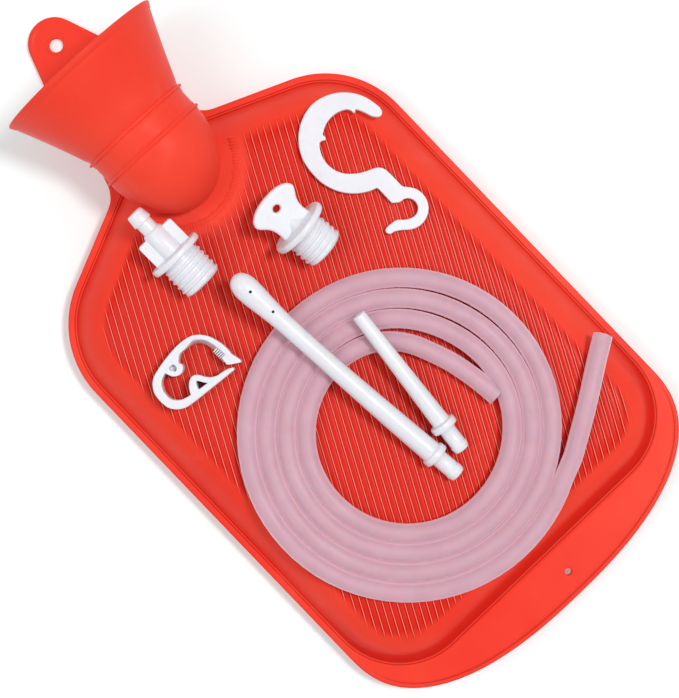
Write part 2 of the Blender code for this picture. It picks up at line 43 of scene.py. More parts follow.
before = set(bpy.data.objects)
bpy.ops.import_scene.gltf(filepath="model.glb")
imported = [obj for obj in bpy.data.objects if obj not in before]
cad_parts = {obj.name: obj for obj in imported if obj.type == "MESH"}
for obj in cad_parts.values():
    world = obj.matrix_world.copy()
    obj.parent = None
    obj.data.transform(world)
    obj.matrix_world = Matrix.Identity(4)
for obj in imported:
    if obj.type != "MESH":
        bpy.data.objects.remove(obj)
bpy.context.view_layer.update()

# Bottle body.
BODY_HALF_W = 100.0
BODY_BOTTOM_Y = -189.3
BOTTOM_CAP_L = 53.0
BOTTOM_CAP_POWER = 2.42
SHOULDER_R = 48.0
SHOULDER_Y = 39.9
SHOULDER_SLOPE = math.radians(23.3)
NECK_STUB_HALF_W = 26.5
NECK_STUB_Y = 113.0
FILLET_R = 14.0
FLANGE_W = 5.0
FLANGE_TOP = 12.0
SEAM_Z = 10.0
FLANGE_BOTTOM = 8.0
# The groove beside the pillow, and the raised border along the flange's edge.
GROOVE_W = 1.95
BORDER_W = 2.9

# Pillow.
PILLOW_BOTTOM_Y = -162.9
PILLOW_CORNER_R = 36.0
PILLOW_APEX_R = 60.0
PILLOW_SLOPE_W = 22.0
PILLOW_POWER = 2.4
PILLOW_COLUMNS = 64
FRONT_TOP = 27.8

# Ribs: fine lines across the pillow, leaning clockwise from +Y.
RIB_PITCH = 3.3
RIB_LEAN = math.radians(27.3)
RIBS_FROM = 13.0
RIBS_FADE_W = 2.8
RIB_H = 0.5
# Rows of one rib: how far across, how high, and how much painted highlight (1) or painted shade (-1).
RIB_PROFILE = (
    (0.0, 0.0, 0.0), (0.50, 0.0, 0.0), (0.57, -0.15, -0.6), (0.63, -0.45, -1.0), (0.68, -0.10, -0.6),
    (0.715, 0.80, 0.6), (0.76, 1.0, 1.0), (0.82, 0.95, 1.0), (0.865, 0.20, 0.1),
    (0.91, -0.35, -0.9), (0.965, -0.10, -0.3),
)

# The sheet's strips along the flange's grooves that are drawn as fine dark lines of painted shade, and how dark.
FLANGE_LINES = ((0, 0.5), (1, 0.7), (5, 0.6), (6, 0.7), (20, 0.7))

# Neck and funnel.
NECK_BASE = Vector((1.8, 102.0, 41.0))
NECK_RISE = math.radians(8.0)
NECK_YAW = math.radians(1.2)
NECK_R = 26.8
NECK_L = 12.0
DOME_L = 35.0
SMOOTH_BAND_W = 10.5
MOUTH_S = 50.0
MOUTH_R = 43.0
FUNNEL_T = 2.4
BORE_R = 16.9
INSERT_R = 16.6
INSERT_BORE_R = 11.0
INSERT_S = (-1.5, 12.0)

# Strap.
TAB_X = 1.5
TAB_TOP_Y = 189.5
TAB_END_R = 13.0
TAB_FLANK_SLOPE = math.tan(math.radians(20.0))
TAB_MOST_HALF_W = 19.5
TAB_T = 2.8
TAB_ROOT_Y = 96.0
EYELET_Y = 175.4
EYELET_R = 3.4
LOWER_HOLE = Vector((4.0, -177.8))
LOWER_HOLE_R = 1.7

# Kit.
KIT_Z = 28.3
GAP = 0.3
TUBE_D = 9.2
TUBE_BORE_R = 3.0
SPIRAL_CENTRE = Vector((-6.35, -73.85))
SPIRAL_R = 77.6
SPIRAL_PITCH = 9.2
SPIRAL_START = math.radians(-60.0)
SPIRAL_TURNS = 3.73
# The turns step inwards most where the tail leaves the coil.
STEP_SWING = 0.0875
# They lie looser towards one side, by so much more each turn after the first ones.
LOOSE_SIDE = math.radians(21.0)
LOOSE_GROWTH = 0.8
LOOSE_FROM_TURN = 0.8
LOOSE_FOCUS = 7.3
# The inner end is drawn in from its turn.
PULL = 2.3
PULL_TURN = 3.78
PULL_SPREAD = 0.11
TAIL_ROUTE = ((92.0, -106.1, 29.2), (84.0, -110.8, 31.2), (76.0, -115.9, 32.5), (68.0, -121.2, 32.9))
TUBE_INNER_END = ((31.2, -62.8), (33.9, -73.3), (35.5, -83.0), (36.4, -92.0))

THREAD_R = 10.4
THREAD_ROOT_R = 9.6
THREAD_PITCH = 2.95
STOPPER_END = Vector((25.8, 12.2))
STOPPER_HEADING = math.radians(6.8)
STOPPER_FLANGE_R = 14.6
STOPPER_TURNS = 4
ADAPTER_END = Vector((-25.4, 40.3))
ADAPTER_HEADING = math.radians(0.9)
ADAPTER_FLANGE_R = 13.7
ADAPTER_TURNS = 5
SHANK_NECK_L = 2.0
FLANGE_DISC_T = 3.2
# The shank's open end, as (s, r): the bore's mouth, the rim and the start of the thread.
SHANK_END = [(0.4, 7.6), (0.0, 8.0), (0.0, 8.7), (0.25, 9.1)]

HOOK_T = 3.6
CLAMP_H = 11.0
# How far back the upper arm's inner wall leans, and between which places the lean grows to that.
WALL_LEAN = 0.5
WALL_LEAN_X = (-53.0, -43.0)

# Nozzles: the collar's size, and where each collar's middle is.
COLLAR_R = 6.4
COLLAR_T = 3.5
LONG_COLLAR = Vector((-3.0, -91.3, KIT_Z + 6.6))
LONG_RISE = math.radians(7.8)
LONG_HEADING = math.radians(4.8)
LONG_BOW = 0.9
LONG_HOLES_S = (-114.8, -101.0)
LONG_HOLE_R = 0.7
SHORT_COLLAR = Vector((9.2, -84.3, KIT_Z + 6.6))
SHORT_RISE = math.radians(8.2)
SHORT_HEADING = math.radians(-5.9)

CAMERA_AT = Vector((-1.25, -25.3, 850.0))
CAMERA_ROLL = math.radians(-43.8)
CAMERA_FOV = math.radians(22.51)


# Scene helpers.


def added(name, data):
    """A new object in the scene, for a mesh, a curve, a light or a camera."""
    made = bpy.data.objects.new(name, data)
    bpy.context.scene.collection.objects.link(made)
    return made


def make_camera():
    data = bpy.data.cameras.new("camera")
    data.sensor_fit = "VERTICAL"
    data.angle = CAMERA_FOV
    data.clip_start = 0.01
    camera = added("camera", data)
    camera.location = CAMERA_AT * MM
    camera.rotation_euler = (0.0, 0.0, CAMERA_ROLL)
    bpy.context.scene.camera = camera


# Materials.


def linear(red, green, blue):
    """A display colour from 0 to 255 as the linear values that a shader takes."""
    shares = [value / 255 for value in (red, green, blue)]
    return tuple(s / 12.92 if s <= 0.04045 else ((s + 0.055) / 1.055) ** 2.4 for s in shares)


class Paint:
    """A node material in the making, around one Principled shader. Inputs are named with _ for a space."""

    def __init__(self, name):
        self.material = bpy.data.materials.new(name)
        self.material.use_nodes = True
        self.tree = self.material.node_tree
        self.shader = self.tree.nodes["Principled BSDF"]
        self.place = self.tree.nodes.new("ShaderNodeTexCoord").outputs["Object"]

    def set(self, **values):
        for name, value in values.items():
            self.shader.inputs[name.replace("_", " ")].default_value = value

    def drive(self, **sources):
        for name, source in sources.items():
            self.link(source, self.shader.inputs[name.replace("_", " ")])

    def link(self, source, target):
        self.tree.links.new(source, target)

    def node(self, kind, **values):
        node = self.tree.nodes.new("ShaderNode" + kind)
        for name, value in values.items():
            node.inputs[name.replace("_", " ")].default_value = value
        return node

    def noise(self, scale, detail=3.0, roughness=0.55, distortion=0.0):
        node = self.node("TexNoise", Scale=scale, Detail=detail, Roughness=roughness, Distortion=distortion)
        self.link(self.place, node.inputs["Vector"])
        return node.outputs["Fac"]

    def attribute(self, name):
        node = self.node("Attribute")
        node.attribute_name = name
        return node.outputs["Fac"]

    def ramp(self, source, low, high, from_value=0.0, to_value=1.0):
        node = self.node("MapRange", From_Min=low, From_Max=high, To_Min=from_value, To_Max=to_value)
        self.link(source, node.inputs["Value"])
        return node.outputs["Result"]

    def blend(self, share, first, second):
        """A mix of two colours, each a tuple or another node's output."""
        node = self.node("Mix")
        node.data_type = "RGBA"
        self.link(share, node.inputs["Factor"])
        for socket, colour in ((node.inputs[6], first), (node.inputs[7], second)):
            if isinstance(colour, tuple):
                socket.default_value = (*colour, 1.0)
            else:
                self.link(colour, socket)
        return node.outputs[2]

    def mix(self, share, first, second):
        """A mix of an output and a number."""
        node = self.node("Mix")
        self.link(share, node.inputs["Factor"])
        self.link(first, node.inputs[2])
        node.inputs[3].default_value = second
        return node.outputs[0]

    def bump(self, source, distance, strength, normal=None):
        node = self.node("Bump", Distance=distance, Strength=strength)
        self.link(source, node.inputs["Height"])
        if normal is not None:
            self.link(normal, node.inputs["Normal"])
        return node.outputs["Normal"]


def rubber_paint():
    """Red rubber with painted light and shade: a deeper red of painted shade in the ribbed band, painted
    highlight and painted shade lines, and a pale cloudy painted sheen.
    """
    paint = Paint("red_rubber")
    cloudy = paint.ramp(paint.noise(14.0, 4.0), 0.35, 0.70)
    colour = paint.blend(cloudy, linear(236, 56, 40), linear(241, 70, 51))
    # Painted shade: the ribbed band and the lowest part of the pillow's slope near the bottom turn deeper red.
    colour = paint.blend(paint.attribute("band"), colour, linear(219, 35, 22))
    # Painted shade: dark lines in the ribs' grooves and in the flange's grooves.
    colour = paint.blend(paint.attribute("groove"), colour, linear(150, 16, 11))
    # Painted highlight: light lines along the lit side of each rib.
    colour = paint.blend(paint.attribute("line"), colour, linear(255, 132, 106))
    # Painted sheen: pale cloudy patches that stand in for glints on the rubber.
    painted_sheen = paint.ramp(paint.noise(26.0, 6.0, 0.7, 0.8), 0.60, 0.86, 0.0, 0.32)
    dull = paint.ramp(paint.noise(90.0, 3.0), 0.3, 0.7, 0.38, 0.50)
    grain = paint.bump(paint.noise(1500.0, 2.0), 0.00004, 0.6)
    paint.drive(
        Base_Color=paint.blend(painted_sheen, colour, linear(244, 106, 92)),
        Roughness=paint.mix(paint.attribute("band"), dull, 0.30),
        Normal=paint.bump(paint.noise(120.0, 2.0), 0.00010, 0.5, grain),
    )
    paint.set(Specular_IOR_Level=0.12, Sheen_Weight=0.01, Sheen_Roughness=0.5)
    return paint.material


def plastic_paint():
    paint = Paint("white_plastic")
    cloudy = paint.ramp(paint.noise(60.0, 3.0), 0.35, 0.70)
    paint.drive(
        Base_Color=paint.blend(cloudy, linear(226, 227, 233), linear(232, 233, 239)),
        Roughness=paint.ramp(paint.noise(220.0, 3.0), 0.3, 0.7, 0.26, 0.38),
        Normal=paint.bump(paint.noise(700.0, 2.0), 0.00003, 0.5),
    )
    paint.set(Subsurface_Weight=0.15, Subsurface_Scale=0.002, Specular_IOR_Level=0.5)
    return paint.material


def tube_paint():
    """Milky vinyl with painted light: lighter, faintly glowing sides and a fainter glow all over stand in for
    the light that soaks through.
    """
    paint = Paint("pink_tube")
    cloudy = paint.ramp(paint.noise(80.0, 3.0), 0.35, 0.70)
    body = paint.blend(cloudy, linear(199, 159, 173), linear(205, 166, 180))
    # Painted light: the colour turns lighter towards the tube's sides.
    colour = paint.blend(paint.attribute("painted_side_light"), body, linear(216, 184, 195))
    paint.drive(
        Base_Color=colour,
        # Painted glow: a faint emission over the whole tube, strongest at its sides.
        Emission_Color=colour,
        Emission_Strength=paint.ramp(paint.attribute("painted_side_light"), 0.0, 1.0, 0.05, 0.20),
        Roughness=paint.ramp(paint.noise(200.0, 3.0), 0.3, 0.7, 0.36, 0.48),
        Normal=paint.bump(paint.noise(500.0, 2.0), 0.00004, 0.5),
    )
    paint.set(Subsurface_Weight=0.6, Subsurface_Scale=0.004, Specular_IOR_Level=0.25)
    return paint.material


def floor_paint():
    paint = Paint("floor")
    cloudy = paint.ramp(paint.noise(6.0, 3.0), 0.3, 0.7)
    paint.drive(Base_Color=paint.blend(cloudy, (0.73, 0.80, 0.80), (0.75, 0.82, 0.82)))
    paint.set(Roughness=0.9, Specular_IOR_Level=0.1)
    paint.set(Emission_Color=(1.0, 1.0, 1.0, 1.0), Emission_Strength=0.21)
    return paint.material


# Mesh helpers.


def object_from(name, points, faces, paint):
    mesh = bpy.data.meshes.new(name)
    mesh.from_pydata([tuple(p) for p in np.asarray(points, float) * MM], [], faces)
    mesh.validate()
    mesh.materials.append(paint)
    mesh.shade_smooth()
    return added(name, mesh)


def grid_faces(rows, columns, wrap=False):
    faces = []
    for i in range(rows if wrap else rows - 1):
        j = (i + 1) % rows
        for k in range(columns if wrap else columns - 1):
            m = (k + 1) % columns
            faces.append((i * columns + k, i * columns + m, j * columns + m, j * columns + k))
    return faces


def turn_outwards(shape):
    """Turns the faces of a closed bmesh outwards."""
    bmesh.ops.recalc_face_normals(shape, faces=shape.faces)
    if shape.calc_volume(signed=True) < 0:
        bmesh.ops.reverse_faces(shape, faces=shape.faces)


def turn_to(shape, side):
    """Turns the faces of an open bmesh so that most of its area looks up (side 1) or down (side -1)."""
    bmesh.ops.recalc_face_normals(shape, faces=shape.faces)
    if sum(f.normal.z * f.calc_area() for f in shape.faces) * side < 0:
        bmesh.ops.reverse_faces(shape, faces=shape.faces)


def reshape(made, change):
    """Runs a change on an object's mesh as a bmesh."""
    shape = bmesh.new()
    shape.from_mesh(made.data)
    change(shape)
    shape.to_mesh(made.data)
    shape.free()
    made.data.shade_smooth()


def closed_skin(name, points, faces, paint):
    """A closed, smooth skin with sharp edges where it turns by more than 50 degrees."""
    made = object_from(name, points, faces, paint)
    reshape(made, turn_outwards)
    made.data.set_sharp_from_angle(angle=math.radians(50))
    return made


def ring_faces(rings, sides):
    """The faces between rings of point numbers, where a pole is a ring of one, and from last to first."""
    pairs = list(zip(rings, rings[1:]))
    if len(rings[0]) > 1 and len(rings[-1]) > 1:
        pairs.append((rings[-1], rings[0]))
    faces = []
    for lower, upper in pairs:
        for i in range(sides):
            j = (i + 1) % sides
            corners = [lower[i % len(lower)], lower[j % len(lower)]]
            corners += [upper[j % len(upper)], upper[i % len(upper)]]
            face = list(dict.fromkeys(corners))
            if len(face) > 2:
                faces.append(face)
    return faces


def turned(name, profile, paint, sides, matrix, swell=None):
    """Turns (s, r) points about local Z. swell(s, r, angle) adds to the radius."""
    points, rings = [], []
    angles = [2 * math.pi * i / sides for i in range(sides)]
    for s, r in profile:
        start = len(points)
        if r <= 0:
            points.append(matrix @ Vector((0.0, 0.0, s)))
            rings.append([start])
            continue
        for a in angles:
            radius = r + (swell(s, r, a) if swell else 0.0)
            points.append(matrix @ Vector((radius * math.cos(a), radius * math.sin(a), s)))
        rings.append(list(range(start, start + sides)))
    return closed_skin(name, points, ring_faces(rings, sides), paint)


def cut(made, tool):
    """Takes a tool's volume out of an object, and the tool out of the scene."""
    change = made.modifiers.new("Cut", "BOOLEAN")
    change.operation = "DIFFERENCE"
    change.object = tool
    change.solver = "EXACT"
    graph = bpy.context.evaluated_depsgraph_get()
    graph.update()
    mesh = bpy.data.meshes.new_from_object(made.evaluated_get(graph))
    made.modifiers.clear()
    made.data = mesh
    bpy.data.objects.remove(tool)


def arc(cx, cy, radius, start_deg, end_deg, steps):
    angles = (math.radians(start_deg + (end_deg - start_deg) * i / steps) for i in range(steps + 1))
    return [(cx + radius * math.cos(a), cy + radius * math.sin(a)) for a in angles]


def smooth_line(points, steps, closed=False):
    """Catmull-Rom through tuples of any length, `steps` per span."""
    if closed:
        ends = [points[-1]] + list(points) + [points[0], points[1]]
    else:
        ends = [points[0]] + list(points) + [points[-1]]
    line = []
    for p0, p1, p2, p3 in zip(ends, ends[1:], ends[2:], ends[3:]):
        for i in range(steps):
            t = i / steps
            line.append(tuple(
                b + 0.5 * ((c - a) * t + (2 * a - 5 * b + 4 * c - d) * t**2 + (3 * b - a - 3 * c + d) * t**3)
                for a, b, c, d in zip(p0, p1, p2, p3)
            ))
    if not closed:
        line.append(tuple(points[-1]))
    return line


def stroke_outline(line, round_end):
    """The outline of a band along (x, y, half width) points, with a flat start and a round or flat end."""
    left, right = [], []
    for i, (x, y, half) in enumerate(line):
        before, after = line[max(i - 1, 0)], line[min(i + 1, len(line) - 1)]
        along = Vector((after[0] - before[0], after[1] - before[1])).normalized()
        side = Vector((-along.y, along.x)) * half
        left.append((x + side.x, y + side.y))
        right.append((x - side.x, y - side.y))
    cap = []
    if round_end:
        x, y, half = line[-1]
        heading = math.degrees(math.atan2(y - line[-2][1], x - line[-2][0]))
        cap = arc(x, y, half, heading + 90, heading - 90, 8)[1:-1]
    return left + cap + right[::-1]


def signed_area(loop):
    return 0.5 * sum(a[0] * b[1] - b[0] * a[1] for a, b in zip(loop, loop[1:] + loop[:1]))


def plate(name, loops, bottom, height, edge, paint):
    """A flat plate with softened edges. The first loop is the outline and the others are holes."""
    curve = bpy.data.curves.new(name, "CURVE")
    curve.dimensions = "2D"
    curve.fill_mode = "BOTH"
    curve.extrude = (height / 2 - edge) * MM
    curve.bevel_depth = edge * MM
    curve.bevel_resolution = 3
    curve.offset = -edge * MM
    for i, loop in enumerate(loops):
        loop = list(loop)
        if (signed_area(loop) > 0) != (i == 0):
            loop.reverse()
        spline = curve.splines.new("POLY")
        spline.points.add(len(loop) - 1)
        for point, (x, y) in zip(spline.points, loop):
            point.co = (x * MM, y * MM, 0.0, 1.0)
        spline.use_cyclic_u = True
    maker = added(name, curve)
    graph = bpy.context.evaluated_depsgraph_get()
    mesh = bpy.data.meshes.new_from_object(maker.evaluated_get(graph))
    bpy.data.objects.remove(maker)
    mesh.transform(Matrix.Translation((0, 0, (bottom + height / 2) * MM)))
    mesh.materials.clear()
    mesh.materials.append(paint)
    made = added(name, mesh)
    weld(made)
    return made


def weld(made):
    def change(shape):
        bmesh.ops.remove_doubles(shape, verts=shape.verts, dist=WELD_M)
        turn_outwards(shape)

    reshape(made, change)
    made.data.set_sharp_from_angle(angle=math.radians(45))


def even_normals(made):
    made.modifiers.new("Normals", "WEIGHTED_NORMAL").keep_sharp = True


def join(name, pieces):
    """One object of several pieces' meshes."""
    shape = bmesh.new()
    for piece in pieces:
        shape.from_mesh(piece.data)
    mesh = bpy.data.meshes.new(name)
    shape.to_mesh(mesh)
    shape.free()
    mesh.materials.append(pieces[0].data.materials[0])
    for piece in pieces:
        bpy.data.objects.remove(piece)
    return added(name, mesh)


# Bottle body.


def body_half_width(y):
    """Half the width of the flange's outline at height y."""
    from_bottom = y - BODY_BOTTOM_Y
    if from_bottom <= 0 or y >= NECK_STUB_Y:
        return 0.0
    if from_bottom < BOTTOM_CAP_L:
        share = 1 - from_bottom / BOTTOM_CAP_L
        return BODY_HALF_W * (1 - share**BOTTOM_CAP_POWER) ** (1 / BOTTOM_CAP_POWER)
    if y < SHOULDER_Y:
        return BODY_HALF_W
    turn = math.pi / 2 - SHOULDER_SLOPE
    arc_end_y = SHOULDER_Y + SHOULDER_R * math.sin(turn)
    arc_end_x = BODY_HALF_W - SHOULDER_R + SHOULDER_R * math.cos(turn)
    if y < arc_end_y:
        return BODY_HALF_W - SHOULDER_R + math.sqrt(SHOULDER_R**2 - (y - SHOULDER_Y) ** 2)
    corner_y = arc_end_y + (arc_end_x - NECK_STUB_HALF_W) * math.tan(SHOULDER_SLOPE)
    tangent = FILLET_R * math.tan(turn / 2)
    fillet_top = corner_y + tangent
    fillet_low = corner_y - tangent * math.sin(SHOULDER_SLOPE)
    if y < fillet_low:
        return arc_end_x - (y - arc_end_y) / math.tan(SHOULDER_SLOPE)
    if y < fillet_top:
        return NECK_STUB_HALF_W + FILLET_R - math.sqrt(FILLET_R**2 - (fillet_top - y) ** 2)
    return NECK_STUB_HALF_W


def pillow_edge():
    """The pillow's outline as arrays of points and outward normals, anticlockwise."""
    side_x = BODY_HALF_W - FLANGE_W
    corner_x, corner_y = side_x - PILLOW_CORNER_R, PILLOW_BOTTOM_Y + PILLOW_CORNER_R
    shoulder_r = SHOULDER_R - FLANGE_W
    shoulder_x = BODY_HALF_W - SHOULDER_R
    turn = 90.0 - math.degrees(SHOULDER_SLOPE)
    touch_x = shoulder_x + shoulder_r * math.cos(math.radians(turn))
    touch_y = SHOULDER_Y + shoulder_r * math.sin(math.radians(turn))
    apex_y = touch_y + touch_x * math.tan(SHOULDER_SLOPE) - PILLOW_APEX_R / math.cos(SHOULDER_SLOPE)
    right = [(0.0, PILLOW_BOTTOM_Y, 270.0)]
    right += turn_points(corner_x, corner_y, PILLOW_CORNER_R, 270.0, 360.0)
    right += turn_points(shoulder_x, SHOULDER_Y, shoulder_r, 0.0, turn)
    right += turn_points(0.0, apex_y, PILLOW_APEX_R, turn, 90.0)
    outline = right + [(-x, y, 180.0 - a) for x, y, a in reversed(right[1:-1])]
    points = np.array([(x, y) for x, y, _ in outline])
    headings = np.radians([a for _, _, a in outline])
    return points, np.stack([np.cos(headings), np.sin(headings)], axis=1)


def turn_points(cx, cy, radius, start, end):
    steps = 36
    headings = [start + (end - start) * i / steps for i in range(steps + 1)]
    return [(x, y, a) for (x, y), a in zip(arc(cx, cy, radius, start, end, steps), headings)]


def to_outline(point, normal):
    """How far the flange's outline is, straight out from the pillow's edge."""
    near, far = 0.0, 60.0
    for _ in range(26):
        middle = (near + far) / 2
        x, y = point[0] + normal[0] * middle, point[1] + normal[1] * middle
        if abs(x) < body_half_width(y):
            near = middle
        else:
            far = middle
    return near


def smooth_step(value, low, high):
    share = np.clip((value - low) / (high - low), 0.0, 1.0)
    return share * share * (3 - 2 * share)


def rib_value(across, column):
    """The ribs' height (column 1) or painted highlight and shade (column 2) at a distance across them."""
    places = [row[0] for row in RIB_PROFILE] + [1.0]
    values = [row[column] for row in RIB_PROFILE] + [RIB_PROFILE[0][column]]
    return np.interp((across / RIB_PITCH) % 1.0, places, values)


def rib_rows(low, high):
    """Where the mesh's rows lie across the ribs. They bunch up towards the pillow's two ends."""
    end = 6.0
    steps = 16
    bunched = [end * (i / steps) ** 2 for i in range(1, steps)]
    rows = [low + b for b in bunched] + [high - b for b in bunched]
    first, last = math.floor(low / RIB_PITCH), math.ceil(high / RIB_PITCH)
    for i in range(first, last + 1):
        across = [(i + row[0]) * RIB_PITCH for row in RIB_PROFILE]
        rows += [a for a in across if low + end <= a <= high - end]
    return np.array(sorted(rows))


def pillow_grid():
    """The pillow's points in rows along the ribs, with their places across the ribs, how far inside its
    edge they are, and the edge's normals at the rows' two ends.
    """
    edge, normals = pillow_edge()
    along = np.array([math.sin(RIB_LEAN), math.cos(RIB_LEAN)])
    across = np.array([math.cos(RIB_LEAN), -math.sin(RIB_LEAN)])
    v, u = edge @ across, edge @ along
    low, high = int(v.argmin()), int(v.argmax())
    rows = rib_rows(v[low], v[high])
    chains = []
    for start, stop in ((low, high), (high, low)):
        index = [i % len(edge) for i in range(start, stop + 1 + (len(edge) if stop < start else 0))]
        if v[index[0]] > v[index[-1]]:
            index.reverse()
        normal = np.stack([np.interp(rows, v[index], normals[index, k]) for k in (0, 1)], axis=1)
        chains.append((np.interp(rows, v[index], u[index]), normal))
    chains.sort(key=lambda chain: chain[0].mean())
    share = np.linspace(0.0, 1.0, PILLOW_COLUMNS)
    share = 0.6 * (0.5 - 0.5 * np.cos(np.pi * share)) + 0.4 * share
    us = chains[0][0][:, None] * (1 - share) + chains[1][0][:, None] * share
    vs = np.repeat(rows[:, None], PILLOW_COLUMNS, axis=1)
    flat = (us[..., None] * along + vs[..., None] * across).reshape(-1, 2)
    inset = ((edge * normals).sum(axis=1)[None, :] - flat @ normals.T).min(axis=1)
    return flat, vs.reshape(-1), np.maximum(inset, 0.0), [normal for _, normal in chains]


def flange_strips(widths, drop, detail_h):
    """The flange's strips from the pillow out, as (distance, lift), and how much rim each place has."""
    rim = smooth_step(widths, 7.0, 14.0)
    groove = ((0.25, -0.45), (0.5, -0.5), (0.75, 0.2), (1.0, 0.35), (1.3, 0.3), (1.5, -0.3), (1.75, -0.35))
    groove += ((GROOVE_W, 0.0),)
    strips = [(np.full_like(widths, at), lift * detail_h + 0 * rim) for at, lift in groove]
    middle = np.maximum(widths - BORDER_W - GROOVE_W, 0.0)
    strips += [(GROOVE_W + middle * i / 12, 0 * rim) for i in range(1, 13)]
    border = ((2.5, -0.25, 0.0), (2.1, 0.30, 0.0), (1.0, 0.40, 0.0), (0.45, 0.25, -0.10), (0.10, 0.0, -0.55))
    border += ((0.0, 0.0, -1.10), (0.0, 0.0, -drop), (2.0, 0.0, -drop))
    strips += [(widths - inside, share * rim + lift) for inside, share, lift in border]
    return strips, rim


def sheet(name, outward, flange_z, rise_h, seam_z, detail_h, paint):
    """One of the bottle's two sheets: ribbed pillow, flange and edge."""
    flat, places, inset, end_normals = pillow_grid()
    rise = 1 - (1 - np.minimum(inset / PILLOW_SLOPE_W, 1.0)) ** PILLOW_POWER
    ribbed = smooth_step(inset, RIBS_FROM, RIBS_FROM + RIBS_FADE_W)
    if outward > 0:
        from_neck = flat - np.array(NECK_BASE[:2])
        collar = np.hypot(from_neck[:, 0] / (NECK_R + SMOOTH_BAND_W), from_neck[:, 1] / (DOME_L + SMOOTH_BAND_W))
        ribbed = ribbed * smooth_step(collar, 0.98, 1.10)
    height = (rise_h - (0.0 if outward > 0 else RIB_H)) * rise + RIB_H * rib_value(places, 1) * ribbed
    points = [np.column_stack([flat, flange_z + outward * height])]
    count = len(flat) // PILLOW_COLUMNS
    faces = grid_faces(count, PILLOW_COLUMNS)

    inner = [(k + 1) * PILLOW_COLUMNS - 1 for k in range(count)]
    inner += [k * PILLOW_COLUMNS for k in reversed(range(count))]
    inner_xy = flat[inner]
    normals = np.concatenate([end_normals[1], end_normals[0][::-1]])
    normals /= np.linalg.norm(normals, axis=1)[:, None]
    widths = np.array([to_outline(p, n) for p, n in zip(inner_xy, normals)])
    strips, rim = flange_strips(widths, abs(flange_z - seam_z), detail_h)
    previous = inner
    total = len(flat)
    for distance, lift in strips:
        ring = inner_xy + normals * np.clip(distance, 0.3, None)[:, None]
        points.append(np.column_stack([ring, flange_z + outward * lift]))
        current = list(range(total, total + len(inner)))
        total += len(inner)
        for i in range(len(inner)):
            j = (i + 1) % len(inner)
            faces.append((previous[i], previous[j], current[j], current[i]))
        previous = current
    made = object_from(name, np.concatenate(points), faces, paint)

    # Painted shade: the lowest part of the pillow's slope near the bottom is darkened like the ribbed band.
    shaded_slope_foot = (1 - smooth_step(inset, 3.5, 6.5)) * (1 - smooth_step(flat[:, 1], -135.0, -105.0))
    # Painted light and shade across each rib: a painted highlight on its lit side and painted shade in the
    # grooves beside it.
    light = rib_value(places, 2)
    painted_light_and_shade = {
        "band": np.maximum(ribbed, shaded_slope_foot),
        "line": ribbed * np.maximum(light, 0.0),
        "groove": ribbed * np.maximum(-light, 0.0),
    }
    for painted_mark, values in painted_light_and_shade.items():
        share = np.zeros(total, np.float32)
        share[: len(flat)] = values
        # Painted shade: fine dark lines along the bottoms of the flange's grooves.
        if painted_mark == "groove":
            for strip, depth in FLANGE_LINES:
                start = len(flat) + strip * len(inner)
                share[start : start + len(inner)] = depth * (rim if strip > 7 else 1.0)
        made.data.attributes.new(painted_mark, "FLOAT", "POINT").data.foreach_set("value", share)
    reshape(made, lambda shape: turn_to(shape, outward))
    return made


def punch(made, centre, clear_r, heights, rings):
    """Opens a hole: points within clear_r, between the heights, give way to rings of (r, z)."""
    low, high = heights

    def near(point, reach):
        away = math.hypot(point.co.x / MM - centre.x, point.co.y / MM - centre.y)
        return away < reach and low < point.co.z / MM < high

    def change(shape):
        gone = [p for p in shape.verts if near(p, clear_r)]
        bmesh.ops.delete(shape, geom=gone, context="VERTS")
        border = [e for e in shape.edges if e.is_boundary and near(e.verts[0], clear_r * 2.2)]
        for radius, z in rings:
            around = arc(centre.x, centre.y, radius, 0, 351, 39)
            verts = [shape.verts.new((x * MM, y * MM, z * MM)) for x, y in around]
            circle = [shape.edges.new((a, b)) for a, b in zip(verts, verts[1:] + verts[:1])]
            if radius == rings[0][0]:
                bmesh.ops.triangle_fill(shape, use_beauty=True, edges=border + circle)
            else:
                bmesh.ops.bridge_loops(shape, edges=border + circle)
            border = circle
        turn_to(shape, 1 if high > SEAM_Z else -1)

    reshape(made, change)


def neck_collar_ticks(paint):
    """An arc of small raised ticks on the smooth band around the dome."""
    ticks = []
    count = 44
    square = ((-1, -1), (1, -1), (1, 1), (-1, 1))
    faces = [(8, 9, 10, 11)]
    for level in (0, 4):
        for k in range(4):
            m = (k + 1) % 4
            faces.append((level + k, level + m, level + 4 + m, level + 4 + k))
    for i in range(count):
        a = math.radians(-128.0 + 98.0 * i / (count - 1))
        size = 1.1 + 0.7 * math.sin(i * 2.4) ** 2
        middle = Vector(((NECK_R + 6.5) * math.cos(a), (DOME_L + 6.2) * math.sin(a))) + NECK_BASE.xy
        out = Vector((math.cos(a) * DOME_L, math.sin(a) * NECK_R)).normalized()
        side = Vector((-out.y, out.x))
        corners = []
        for w, l, z in ((0.42, size, 27.7), (0.32, size - 0.1, 28.15), (0.16, size - 0.3, 28.28)):
            corners += [(*(middle + side * sx * w + out * sy * l), z) for sx, sy in square]
        ticks.append(object_from("tick", corners, faces, paint))
    return join("collar_ticks", ticks)


